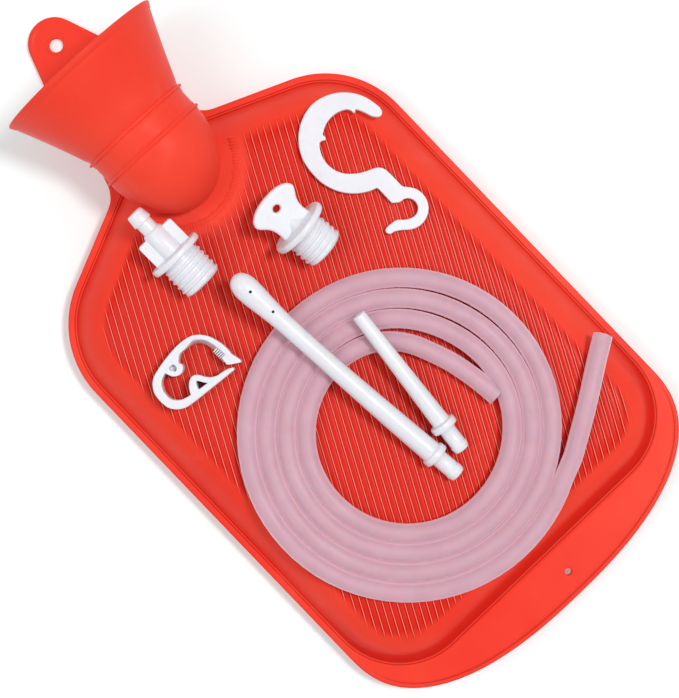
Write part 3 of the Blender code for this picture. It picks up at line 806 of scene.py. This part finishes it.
def strap_edge():
    """The strap's edge and the directions outwards, from the left root round the end to the right root."""
    end_y = TAB_TOP_Y - TAB_END_R
    lean = math.atan(TAB_FLANK_SLOPE)
    tangent_x, tangent_y = TAB_END_R * math.cos(lean), end_y + TAB_END_R * math.sin(lean)
    rows = 60
    side = []
    for i in range(rows):
        y = TAB_ROOT_Y + (tangent_y - TAB_ROOT_Y) * i / rows
        half = min(tangent_x + (tangent_y - y) * TAB_FLANK_SLOPE, TAB_MOST_HALF_W)
        turn = lean * float(smooth_step(y, 155.0, 167.0))
        side.append((half, y, math.cos(turn), math.sin(turn)))
    turns = [lean + (math.pi - 2 * lean) * i / 32 for i in range(33)]
    unit = [(math.cos(a), math.sin(a)) for a in turns]
    end = [(TAB_END_R * x, end_y + TAB_END_R * y, x, y) for x, y in unit]
    return [(-x, y, -nx, ny) for x, y, nx, ny in side + end[:16]] + end[16::-1] + side[::-1]


def strap(paint):
    """The hanging strap: a bordered tongue with an eyelet, which bends down to the ground."""
    edge = strap_edge()
    count = len(edge)
    half_t = TAB_T / 2
    low, high = half_t, SEAM_Z - 0.15 - half_t
    rows = [(3.3, -half_t), (0.45, 0.06 - half_t), (0.12, 0.4 - half_t), (0.0, 0.9 - half_t)]
    rows += [(0.0, half_t - 0.9), (0.12, half_t - 0.4), (0.45, half_t - 0.06), (1.2, half_t + 0.25)]
    rows += [(2.3, half_t + 0.2), (2.8, half_t - 0.15), (3.3, half_t - 0.15)]
    shape = bmesh.new()
    rings = []
    for inset, z in rows:
        ring = []
        for x, y, nx, ny in edge:
            at = y - ny * inset
            drop = high + (low - high) * float(smooth_step(at, TAB_ROOT_Y + 6.0, TAB_ROOT_Y + 46.0))
            ring.append(shape.verts.new(Vector((TAB_X + x - nx * inset, at, drop + z)) * MM))
        rings.append(ring)
    for lower, upper in zip(rings, rings[1:]):
        for i in range(count - 1):
            shape.faces.new((lower[i], lower[i + 1], upper[i + 1], upper[i]))
    flat_from = sum(1 for x, y, _, _ in edge[: count // 2] if y < 150.0)
    circles = []
    for ring, z in ((rings[0], 0.0), (rings[-1], TAB_T - 0.15)):
        for i in range(flat_from):
            shape.faces.new((ring[i], ring[i + 1], ring[count - 2 - i], ring[count - 1 - i]))
        border = ring[flat_from : count - flat_from]
        around = arc(TAB_X, EYELET_Y, EYELET_R + 0.6, 0, 352.5, 47)
        circle = [shape.verts.new(Vector((x, y, z)) * MM) for x, y in around]
        edges = [shape.edges.new((a, b)) for a, b in zip(circle, circle[1:] + circle[:1])]
        edges += [shape.edges.get((a, b)) for a, b in zip(border, border[1:] + border[:1])]
        bmesh.ops.triangle_fill(shape, use_beauty=True, edges=edges)
        circles.append(circle)
    for i in range(48):
        j = (i + 1) % 48
        shape.faces.new((circles[0][i], circles[0][j], circles[1][j], circles[1][i]))
    shape.faces.new([ring[0] for ring in rings] + [ring[-1] for ring in reversed(rings)])
    turn_outwards(shape)
    mesh = bpy.data.meshes.new("strap")
    shape.to_mesh(mesh)
    shape.free()
    mesh.materials.append(paint)
    mesh.shade_smooth()
    mesh.set_sharp_from_angle(angle=math.radians(50))
    made = added("strap", mesh)
    top, r = TAB_T - 0.15, EYELET_R
    profile = [(top - 0.3, r + 1.7), (top + 0.15, r + 1.5), (top + 0.35, r + 1.2), (top + 0.35, r + 0.6)]
    profile += [(top + 0.20, r + 0.2), (top - 0.1, r), (0.5, r), (0.0, r + 0.5), (0.3, r + 1.0)]
    rim = turned("eyelet_rim", profile, paint, 48, Matrix.Translation((TAB_X, EYELET_Y, 0.0)))
    return made, rim


# Neck.


def neck_matrix():
    tilt = Matrix.Rotation(-(math.pi / 2 - NECK_RISE), 4, "X")
    yaw = Matrix.Rotation(-NECK_YAW, 4, "Z")
    return Matrix.Translation(NECK_BASE) @ yaw @ tilt


def bead(s, r, height, width):
    """A fine raised line round the neck with a groove on each side."""
    half = width / 2
    rise = [(half + 0.5, r), (half + 0.15, r - 0.2), (half, r - 0.1), (half - 0.3, r + height * 0.8)]
    fall = [(s + away, at) for away, at in reversed(rise)]
    return [(s - away, at) for away, at in rise] + [(s, r + height)] + fall


def neck_profile():
    steps = 30
    dome = [math.radians(90.0 * i / steps) for i in range(steps)]
    profile = [(-DOME_L * math.cos(a), NECK_R * math.sin(a)) for a in dome]
    profile += bead(0.3, NECK_R, 0.55, 1.7)
    profile += [(3.5, NECK_R - 0.1), (6.0, NECK_R - 0.15), (8.5, NECK_R - 0.1)]
    profile += bead(NECK_L, NECK_R + 0.1, 0.65, 1.7)
    slope = (MOUTH_R - NECK_R) / (MOUTH_S - NECK_L)
    for i in range(1, 14):
        s = NECK_L + 1.6 + (MOUTH_S - 4.2 - NECK_L - 1.6) * i / 13
        hollow = -0.5 * math.sin(math.pi * (s - NECK_L) / (MOUTH_S - NECK_L))
        profile.append((s, NECK_R + slope * (s - NECK_L) + hollow))
    lip = MOUTH_S - 3.6
    at = NECK_R + slope * (lip - NECK_L)
    profile += [(lip - 0.2, at - 0.35), (lip + 0.15, at - 0.25), (lip + 0.5, at + 0.35)]
    profile += [(lip + 1.2, at + 0.75), (MOUTH_S - 0.9, MOUTH_R + 0.1), (MOUTH_S - 0.3, MOUTH_R)]
    profile += [(MOUTH_S, MOUTH_R - 0.5)]
    profile += [(MOUTH_S + 0.05, MOUTH_R - 1.2), (MOUTH_S - 0.2, MOUTH_R - 2.0)]
    profile += [(MOUTH_S - 1.0, MOUTH_R - FUNNEL_T - 0.3)]
    for i in range(1, 10):
        s = MOUTH_S - 1.0 + (NECK_L + 2.5 - MOUTH_S) * i / 10
        profile.append((s, NECK_R - FUNNEL_T + slope * (s - NECK_L - 1.5)))
    profile += [(NECK_L + 1.5, NECK_R - FUNNEL_T), (NECK_L + 0.5, BORE_R + 3.0), (NECK_L + GAP, BORE_R)]
    profile += [(INSERT_S[0] - GAP, BORE_R), (-8.0, BORE_R + 2.0)]
    inner_l, inner_r = DOME_L - FUNNEL_T, NECK_R - FUNNEL_T
    for a in reversed(dome[::3]):
        if inner_l * math.cos(a) > 12.0:
            profile.append((-inner_l * math.cos(a), inner_r * math.sin(a)))
    return profile


def neck_swell(s, r, angle):
    """Small nubs where the beads cross the mould's parting line, at both sides."""
    if r < NECK_R - 1.0 or s < -3.0 or s > 16.0:
        return 0.0
    side = min(abs(math.remainder(angle, math.pi)), math.pi)
    nub = math.exp(-((side / 0.045) ** 2))
    return nub * (0.9 * math.exp(-(((s - NECK_L) / 1.1) ** 2)) + 0.7 * math.exp(-(((s - 0.3) / 1.1) ** 2)))


def make_neck(paint):
    return turned("neck_and_funnel", neck_profile(), paint, 176, neck_matrix(), neck_swell)


def thread_share(s, angle, first, last):
    """How proud a thread stands, from 0 to 1, at a place on its shank."""
    phase = ((s - first) / THREAD_PITCH - angle / (2 * math.pi)) % 1.0
    share = np.interp(phase, [0.0, 0.12, 0.30, 0.52, 0.70, 1.0], [0.0, 0.0, 1.0, 1.0, 0.0, 0.0])
    fade = min(max((s - first) / 1.0, 0.0), 1.0) * min(max((last - s) / 1.2, 0.0), 1.0)
    return share * fade


def make_insert(paint):
    low, high = INSERT_S
    root_r, rows = INSERT_BORE_R + 0.9, 64
    profile = [(low, INSERT_R - 0.4), (low + 0.4, INSERT_R), (high - 0.4, INSERT_R), (high, INSERT_R - 0.4)]
    profile += [(high, INSERT_BORE_R + 0.5)]
    profile += [(high - 0.5 - (high - low - 1.0) * i / rows, root_r) for i in range(rows + 1)]
    profile += [(low, INSERT_BORE_R + 0.6)]

    def swell(s, r, angle):
        return -0.8 * thread_share(s, angle, low + 0.5, high - 0.5) if abs(r - root_r) < 0.01 else 0.0

    return turned("threaded_insert", profile, paint, 72, neck_matrix(), swell)


# Stopper and adapter.


def lying(end, heading, flange_r, flange_s):
    """Lays local Z along +Y, resting on the thread's end and on the flange."""
    tilt = math.asin((flange_r - THREAD_R) / flange_s)
    lift = THREAD_R * math.cos(tilt) + THREAD_R * math.sin(tilt) * 0.1
    turn = Matrix.Rotation(heading, 4, "Z") @ Matrix.Rotation(-(math.pi / 2 - tilt), 4, "X")
    return Matrix.Translation((end.x, end.y, KIT_Z + GAP + lift)) @ turn


def threaded_shank(last):
    """(s, r) rows for a thread from the free end up to `last`."""
    rows = int(last * 5)
    return [(0.5 + (last - 0.5) * i / rows, THREAD_ROOT_R) for i in range(rows + 1)]


def thread_swell(last):
    height = THREAD_R - THREAD_ROOT_R

    def swell(s, r, angle):
        return height * thread_share(s, angle, 0.5, last) if abs(r - THREAD_ROOT_R) < 0.001 else 0.0

    return swell


def disc_edge(s, radius):
    """The rounded rim of a flange from s on."""
    low = [(0.0, radius - 1.0), (0.12, radius - 0.45), (0.5, radius - 0.1), (1.0, radius)]
    return [(s + t, r) for t, r in low] + [(s + FLANGE_DISC_T - t, r) for t, r in reversed(low)]


def upright_plate(name, loops, thickness, edge, place, s, paint):
    """A plate in a turned piece's own XZ plane, raised to s along its axis."""
    made = plate(name, loops, -thickness / 2, thickness, edge, paint)
    made.data.transform(Matrix.Rotation(math.pi / 2, 4, "X"))
    made.data.transform(Matrix.Translation((0, 0, s * MM)))
    even_normals(made)
    metric = place.copy()
    metric.translation = place.translation * MM
    made.data.transform(metric)
    return made


def make_stopper(paint):
    shank = 1.0 + STOPPER_TURNS * THREAD_PITCH
    flange = shank + SHANK_NECK_L
    top = flange + FLANGE_DISC_T
    cone = [(0.0, 5.6), (0.3, 4.6), (1.0, 3.8), (2.2, 3.0), (3.6, 2.3), (4.6, 1.4), (5.0, 0)]
    profile = [(12.5, 0), (11.8, 7.4)] + SHANK_END + threaded_shank(shank)
    profile += [(shank + 0.3, 9.0), (flange - 0.4, 9.0), (flange - 0.1, 9.5)]
    profile += disc_edge(flange, STOPPER_FLANGE_R) + [(top + s, r) for s, r in cone]
    place = lying(STOPPER_END, STOPPER_HEADING, STOPPER_FLANGE_R, flange)
    body = turned("stopper_body", profile, paint, 80, place, thread_swell(shank))
    right = [(9.0, -1.0), (8.6, 1.5), (8.5, 4.0), (8.8, 6.2), (9.7, 8.6), (11.2, 10.6), (12.5, 12.3)]
    right += [(13.0, 13.9), (12.5, 15.5), (11.2, 17.0), (8.6, 18.4), (5.0, 19.4), (0.0, 19.8)]
    outline = smooth_line(right + [(-x, s) for x, s in reversed(right[:-1])], 4)
    hole = [(x * 1.15, y) for x, y in arc(0.0, 12.4, 1.7, 0, 345, 23)]
    return body, upright_plate("stopper_wing", [outline, hole], 4.2, 1.3, place, top, paint)


def make_adapter(paint):
    last = 0.4 + ADAPTER_TURNS * THREAD_PITCH
    shank = ADAPTER_TURNS * THREAD_PITCH + SHANK_NECK_L
    top = shank + FLANGE_DISC_T
    tip = top + 25.5
    profile = [(15.0, 7.4)] + SHANK_END + threaded_shank(last)
    profile += [(last + 0.3, 9.2), (shank - 0.4, 9.2), (shank - 0.1, 9.6)]
    profile += disc_edge(shank, ADAPTER_FLANGE_R)
    profile += [(top, 6.6), (top + 0.3, 5.6), (top + 13.0, 5.4), (top + 13.8, 4.9), (top + 14.4, 4.1)]
    profile += [(tip - 6.2, 4.0), (tip - 5.9, 4.8), (tip - 5.4, 4.9), (tip - 0.9, 4.2), (tip - 0.2, 3.9)]
    profile += [(tip, 3.4), (tip, 2.7), (tip - 0.4, 2.4), (17.0, 2.4), (16.0, 7.2)]
    place = lying(ADAPTER_END, ADAPTER_HEADING, ADAPTER_FLANGE_R, shank)
    body = turned("adapter_body", profile, paint, 80, place, thread_swell(last))
    outline = [(-10.1, -1.0), (10.1, -1.0), (10.1, 11.7), (9.3, 12.5), (-9.3, 12.5), (-10.1, 11.7)]
    return body, upright_plate("adapter_key", [outline], 4.8, 0.5, place, top, paint)


# Hook and clamp.


def make_hook(paint):
    """One flat plate: a wide bow with two detent nubs, a reversed shank and a small open eye."""
    outline = [(87.2, 40.1), (84.9, 42.6), (83.6, 46.3), (82.5, 48.8)]
    outline += [(81.4, 50.2), (80.6, 49.4), (79.8, 49.7), (79.6, 51.4)]
    outline += arc(71.0, 42.05, 13.4, 57, 124, 4)
    outline += [(62.4, 52.2), (62.4, 50.6), (61.4, 49.7), (60.2, 50.4)]
    outline += arc(68.35, 40.55, 13.95, 135, 232, 6)
    outline += [(62.6, 27.4), (65.4, 25.9), (68.4, 24.6), (70.6, 23.2), (72.0, 21.0), (72.4, 18.0)]
    outline += [(72.5, 13.4), (72.6, 9.2)]
    outline += arc(66.95, 0.2, 10.0, 41, -125, 8)
    outline += [(58.2, -5.4), (55.2, -3.5), (53.3, -3.1), (52.3, -1.9), (52.4, -0.4), (53.7, 0.4)]
    outline += [(56.4, 0.3), (59.9, -0.4), (62.6, -2.9)]
    outline += arc(67.25, 0.0, 4.7, -113, 98, 7)
    outline += [(64.0, 6.6), (63.6, 7.4), (63.6, 12.0), (63.6, 16.0), (62.9, 17.0)]
    outline += arc(70.85, 40.3, 24.7, -116, -177, 6)
    outline += arc(69.7, 42.65, 23.4, 174, 104, 5)
    outline += arc(67.55, 43.35, 22.65, 86, 5, 6)
    outline += [(90.3, 42.6), (89.3, 40.4)]
    made = plate("hook", [smooth_line(outline, 3, closed=True)], KIT_Z, HOOK_T, 0.55, paint)
    even_normals(made)
    return made


def jaw_plate(name, jaw, hollow, paint):
    """A clamp's jaw with a hollow through it."""
    loops = [smooth_line(loop, 3, closed=True) for loop in (jaw, hollow)]
    return plate(name, loops, KIT_Z + 0.05, CLAMP_H - 0.1, 0.35, paint)


def make_clamp_base(paint):
    band = [(-75.9, 14.4, 1.95), (-75.2, 10.5, 2.1), (-72.4, 7.3, 2.15), (-68.4, 5.7, 1.95)]
    band += [(-60.0, 4.5, 1.6), (-52.0, 3.7, 1.5), (-46.5, 3.0, 1.3), (-43.4, 2.2, 0.8)]
    outline = stroke_outline(smooth_line(band, 6), round_end=True)
    arm = plate("clamp_lower", [outline], KIT_Z + 0.02, CLAMP_H - 0.04, 0.7, paint)
    jaw = [(-66.8, 5.0), (-65.6, 7.0), (-64.0, 9.8), (-62.0, 11.8), (-60.0, 12.7), (-58.2, 12.5)]
    jaw += [(-56.6, 11.2), (-55.2, 8.8), (-53.4, 6.6), (-51.0, 5.2), (-47.5, 3.6), (-56.0, 3.6), (-62.0, 4.2)]
    hollow = [(-61.2, 5.6), (-60.5, 8.2), (-59.4, 9.7), (-58.5, 9.0), (-57.2, 6.9), (-56.2, 5.4)]
    hollow += [(-58.5, 5.3)]
    return arm, jaw_plate("lower_jaw", jaw, hollow, paint)


def lean_inner_wall(made, line):
    """Slopes the upper arm's inner wall: towards the latch, its top edge draws back from the hollow."""
    xy = np.array([(x, y) for x, y, _ in line])
    half = np.array([h for _, _, h in line])
    along = np.gradient(xy, axis=0)
    out = np.column_stack([-along[:, 1], along[:, 0]]) / np.linalg.norm(along, axis=1)[:, None]
    for vertex in made.data.vertices:
        place = np.array(vertex.co[:2]) / MM
        i = int(np.hypot(*(xy - place).T).argmin())
        height = (vertex.co.z / MM - KIT_Z) / CLAMP_H
        share = WALL_LEAN * smooth_step(xy[i, 0], *WALL_LEAN_X) * height
        back = share * (half[i] - out[i] @ (place - xy[i]))
        vertex.co.x += out[i, 0] * back * MM
        vertex.co.y += out[i, 1] * back * MM


def make_clamp_arm(paint):
    band = [(-75.7, 12.6, 1.95), (-75.8, 15.0, 2.0), (-75.0, 19.0, 2.1), (-72.0, 22.6, 2.05)]
    band += [(-66.6, 24.5, 1.8), (-60.0, 25.6, 1.8), (-53.4, 26.0, 1.8), (-47.3, 24.8, 1.9)]
    band += [(-43.5, 21.0, 2.2), (-41.7, 15.6, 2.5), (-41.2, 10.5, 2.6), (-41.5, 6.6, 2.3)]
    line = smooth_line(band, 6)
    arm = plate("clamp_upper", [stroke_outline(line, round_end=False)], KIT_Z, CLAMP_H, 0.4, paint)
    lean_inner_wall(arm, line)
    jaw = [(-67.6, 24.2), (-66.8, 21.2), (-65.8, 19.0), (-64.0, 17.6), (-61.8, 17.2), (-59.8, 18.2)]
    jaw += [(-58.8, 20.0), (-59.4, 21.4), (-58.4, 22.6), (-57.2, 23.6), (-55.2, 24.9), (-60.0, 25.6)]
    jaw += [(-65.0, 25.2)]
    hollow = [(-64.6, 22.6), (-63.4, 19.8), (-61.8, 20.4), (-61.4, 22.0), (-62.4, 23.0)]
    web = smooth_line(hollow, 3, closed=True)
    latch = [(-43.4, 9.5), (-39.2, 9.5), (-38.6, 6.6), (-37.9, 3.6), (-37.9, 2.3), (-38.6, 1.9), (-42.6, 4.4)]
    latch += [(-43.9, 5.6)]
    parts = [jaw_plate("upper_jaw", jaw, hollow, paint)]
    parts.append(plate("upper_web", [web], KIT_Z + 0.5, CLAMP_H - 5.0, 0.05, paint))
    for i in range(7):
        x, y = -43.7 - 0.02 * i, 8.0 + 1.05 * i
        ridge = [(x + 2.6, y - 0.5), (x - 0.75, y - 0.35), (x - 0.55, y + 0.05), (x + 2.6, y + 0.3)]
        parts.append(plate("tooth", [ridge], KIT_Z + 0.6, CLAMP_H - 2.6, 0.08, paint))
    parts.append(plate("latch", [latch], KIT_Z + 0.03, CLAMP_H - 0.06, 0.3, paint))
    rest = join("clamp_latch", parts)
    rest.data.shade_smooth()
    rest.data.set_sharp_from_angle(angle=math.radians(45))
    return arm, rest


# Tube.


def tube_path():
    """The tube's centreline, from its free end on the slope, round the coil and to its inner end.

    Each turn steps inwards most where the tail leaves the coil, and the turns lie looser on one side.
    """
    z = KIT_Z + TUBE_D / 2
    tail = list(TAIL_ROUTE) + [(59.6, -126.6, z), (50.5, -132.1, z), (42.5, -136.8, z)]
    coil = []
    steps = int(SPIRAL_TURNS * 72)
    for i in range(steps + 1):
        turns = SPIRAL_TURNS * i / steps
        a = SPIRAL_START - 2 * math.pi * turns
        stepped = turns + STEP_SWING * math.sin(2 * math.pi * turns)
        focus = math.exp(LOOSE_FOCUS * (math.cos(a - LOOSE_SIDE) - 1.0))
        loose = LOOSE_GROWTH * (turns - LOOSE_FROM_TURN) * focus
        pulled = PULL * math.exp(-(((turns - PULL_TURN) / PULL_SPREAD) ** 2))
        r = SPIRAL_R - SPIRAL_PITCH * stepped - loose - pulled
        coil.append((SPIRAL_CENTRE.x + r * math.cos(a), SPIRAL_CENTRE.y + r * math.sin(a), z))
    end = [(x, y, z) for x, y in TUBE_INNER_END]
    lead = smooth_line(tail + [coil[0], coil[2]], 4)[:-5]
    close = smooth_line([coil[-3], coil[-1]] + end, 4)[5:]
    return lead + coil + close


def make_tube(paint):
    path = [Vector(p) for p in tube_path()]
    sides = 40
    up = Vector((0, 0, 1))
    outer, inner = [], []
    for i, p in enumerate(path):
        along = (path[min(i + 1, len(path) - 1)] - path[max(i - 1, 0)]).normalized()
        side = along.cross(up).normalized()
        lift = side.cross(along)
        turns = [2 * math.pi * k / sides for k in range(sides)]
        spokes = [side * math.cos(a) + lift * math.sin(a) for a in turns]
        outer.append([p + spoke * TUBE_D / 2 for spoke in spokes])
        inner.append([p + spoke * TUBE_BORE_R for spoke in spokes])
    rings = outer + inner[::-1]
    points = [q for ring in rings for q in ring]
    made = closed_skin("tube", points, grid_faces(len(rings), sides, wrap=True), paint)
    # Painted light: 1 at the tube's sides and 0 at its top and bottom; it lightens the colour and strengthens
    # the painted glow.
    around = np.abs(np.cos(2 * np.pi * np.arange(sides) / sides))
    painted_side_light = np.tile(smooth_step(around, 0.70, 1.0), len(rings)).astype(np.float32)
    made.data.attributes.new("painted_side_light", "FLOAT", "POINT").data.foreach_set("value", painted_side_light)
    return made, path


# Nozzles.


def swept_nozzle(name, collar, rise, heading, bow, profile, paint):
    """A hollow nozzle. s runs from its head to its barb, and s = 0 is the middle of the collar."""
    sides = 56
    first, last = min(s for s, _ in profile), max(s for s, _ in profile)
    place = Matrix.Translation(collar) @ Matrix.Rotation(heading, 4, "Z") @ Matrix.Rotation(rise, 4, "X")
    points, rings = [], []
    for s, r in profile:
        sag = bow * (4 * (s - first) * (last - s) / (last - first) ** 2)
        ring = []
        for k in range(1 if r <= 0 else sides):
            a = 2 * math.pi * k / sides
            ring.append(len(points))
            points.append(place @ Vector((sag + r * math.cos(a), -s, r * math.sin(a))))
        rings.append(ring)
    return closed_skin(name, points, ring_faces(rings, sides), paint), place


def collar_profile():
    half, r = COLLAR_T / 2, COLLAR_R
    rise = [(half, r - 0.7), (half - 0.15, r - 0.2), (half - 0.6, r)]
    return [(-s, at) for s, at in rise] + rise[::-1]


def barb_profile(r):
    """From the collar's back along the barb's neck of radius r, over the barb and to its nose."""
    neck = [(1.75, r + 0.2), (2.2, r), (11.0, r)]
    return neck + [(11.3, r + 0.25), (11.8, r + 0.3), (14.0, r - 0.1), (14.5, r - 0.4)]


def make_long_nozzle(paint):
    head = [(-125.0, 0), (-124.9, 0.9), (-124.3, 2.6), (-123.5, 3.7), (-122.4, 4.5), (-121.0, 5.2)]
    head += [(-119.4, 5.7), (-117.5, 5.95), (-115.5, 6.0), (-113.0, 5.9), (-110.0, 5.65)]
    shaft = [(-103.0, 5.0), (-98.0, 4.65), (-93.0, 4.4), (-84.0, 4.28), (-75.0, 4.25), (-62.0, 4.4)]
    shaft += [(-50.0, 4.6), (-37.0, 4.8), (-25.0, 5.0), (-12.0, 5.1), (-4.0, 5.2), (-2.2, 5.3)]
    nose = [(14.6, 3.3), (14.4, 2.7), (13.8, 2.6)]
    bore = [(14.0 - (14.0 + 117.0) * i / 10, 2.6) for i in range(1, 11)] + [(-118.0, 1.6), (-118.5, 0)]
    profile = head + shaft + collar_profile() + barb_profile(4.1) + nose + bore
    made, place = swept_nozzle("nozzle_long", LONG_COLLAR, LONG_RISE, LONG_HEADING, -LONG_BOW, profile, paint)
    drill = [(-2.5, 0), (-2.5, LONG_HOLE_R), (2.5, LONG_HOLE_R), (2.5, 0)]
    for s in LONG_HOLES_S:
        at = Matrix.Translation(place @ Vector((0.0, -s, 4.0))) @ place.to_3x3().to_4x4()
        cut(made, turned("drill", drill, paint, 20, at))
    made.data.set_sharp_from_angle(angle=math.radians(50))
    return made


def make_short_nozzle(paint):
    shaft = [(-65.2, 2.2), (-65.4, 2.7), (-65.2, 3.1), (-64.6, 3.25), (-40.0, 3.7), (-20.0, 4.1)]
    shaft += [(-5.0, 4.4), (-2.2, 4.5)]
    nose = [(14.6, 3.0), (14.4, 2.2), (13.8, 1.9)]
    bore = [(13.8 - (13.8 + 64.6) * i / 8, 1.9) for i in range(1, 9)]
    profile = shaft + collar_profile() + barb_profile(3.9) + nose + bore
    return swept_nozzle("nozzle_short", SHORT_COLLAR, SHORT_RISE, SHORT_HEADING, 0.0, profile, paint)[0]


# Surroundings.


def make_floor():
    mesh = bpy.data.meshes.new("floor")
    half, z = 6.0, -0.0002
    corners = [(-half, -half, z), (half, -half, z), (half, half, z), (-half, half, z)]
    mesh.from_pydata(corners, [], [(0, 1, 2, 3)])
    mesh.materials.append(floor_paint())
    floor = added("floor", mesh)


def area_light(name, at, size, power):
    data = bpy.data.lights.new(name, "AREA")
    data.shape = "DISK"
    data.size = size
    data.energy = power
    light = added(name, data)
    light.location = at
    light.rotation_euler = (-Vector(at)).to_track_quat("-Z", "Y").to_euler()


def make_lights():
    """A soft ring of light above the horizon, and a soft key from the right."""
    world = bpy.data.worlds.new("world")
    world.use_nodes = True
    tree = world.node_tree
    place = tree.nodes.new("ShaderNodeTexCoord")
    split = tree.nodes.new("ShaderNodeSeparateXYZ")
    tree.links.new(place.outputs["Generated"], split.inputs[0])
    ring = tree.nodes.new("ShaderNodeValToRGB")
    stops = ((0.0, 0.62), (0.35, 0.68), (0.62, 1.00), (0.86, 0.85), (0.95, 0.60), (1.0, 0.55))
    while len(ring.color_ramp.elements) < len(stops):
        ring.color_ramp.elements.new(0.5)
    for element, (at, level) in zip(ring.color_ramp.elements, stops):
        element.position = at
        element.color = (level, level, level, 1.0)
    tree.links.new(split.outputs["Z"], ring.inputs["Fac"])
    background = tree.nodes["Background"]
    tree.links.new(ring.outputs["Color"], background.inputs["Color"])
    background.inputs["Strength"].default_value = 0.62
    bpy.context.scene.world = world
    area_light("key", (0.88, -0.45, 2.56), 0.50, 36.5)
    area_light("fill", (-0.80, 0.46, 1.60), 1.00, 6.6)
    bpy.context.scene.view_settings.view_transform = "Standard"


def belongs(pieces, body, slot, *nodes):
    for piece in pieces:
        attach(piece, body)
    if nodes:
        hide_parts(*nodes)


def main():
    make_camera()
    rubber, plastic, vinyl = rubber_paint(), plastic_paint(), tube_paint()

    tube, path = make_tube(vinyl)
    belongs([tube], "tube", "pink_tube", "tube_coil", "tube_tail")

    front = sheet("front_sheet", 1, FLANGE_TOP, FRONT_TOP - FLANGE_TOP, SEAM_Z + 0.1, 1.0, rubber)
    rings = [(2.3, 12.0), (1.9, 11.9), (LOWER_HOLE_R, 11.6), (LOWER_HOLE_R, 10.0)]
    punch(front, LOWER_HOLE, 3.4, (11.0, 13.0), rings)
    ticks = neck_collar_ticks(rubber)
    belongs([front, ticks], "bottle", "red_rubber", "front_panel")
    back = sheet("back_sheet", -1, FLANGE_BOTTOM, FLANGE_BOTTOM, SEAM_Z - 0.1, 0.0, rubber)
    rings = [(2.3, 8.0), (1.9, 8.1), (LOWER_HOLE_R, 8.4), (LOWER_HOLE_R, 10.0)]
    punch(back, LOWER_HOLE, 3.4, (7.0, 9.0), rings)
    tongue, rim = strap(rubber)
    belongs([back, tongue, rim], "bottle", "red_rubber", "back_panel")
    neck = make_neck(rubber)
    belongs([neck], "bottle", "red_rubber", "neck_funnel")
    belongs([make_insert(plastic)], "bottle", "white_plastic", "neck_insert")

    belongs(make_stopper(plastic), "stopper", "white_plastic", "stopper")
    belongs(make_adapter(plastic), "adapter", "white_plastic", "tube_adapter")
    belongs([make_hook(plastic)], "hook", "white_plastic", "s_hook")
    lower, lower_jaw = make_clamp_base(plastic)
    belongs([lower, lower_jaw], "clamp", "white_plastic", "clamp_base")
    upper, latch = make_clamp_arm(plastic)
    belongs([latch], "clamp_lever", "white_plastic")
    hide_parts("clamp_arm")
    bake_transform(upper)
    belongs([make_long_nozzle(plastic)], "long_nozzle", "white_plastic", "long_nozzle")
    belongs([make_short_nozzle(plastic)], "short_nozzle", "white_plastic", "short_nozzle")

    make_floor()
    make_lights()


main()
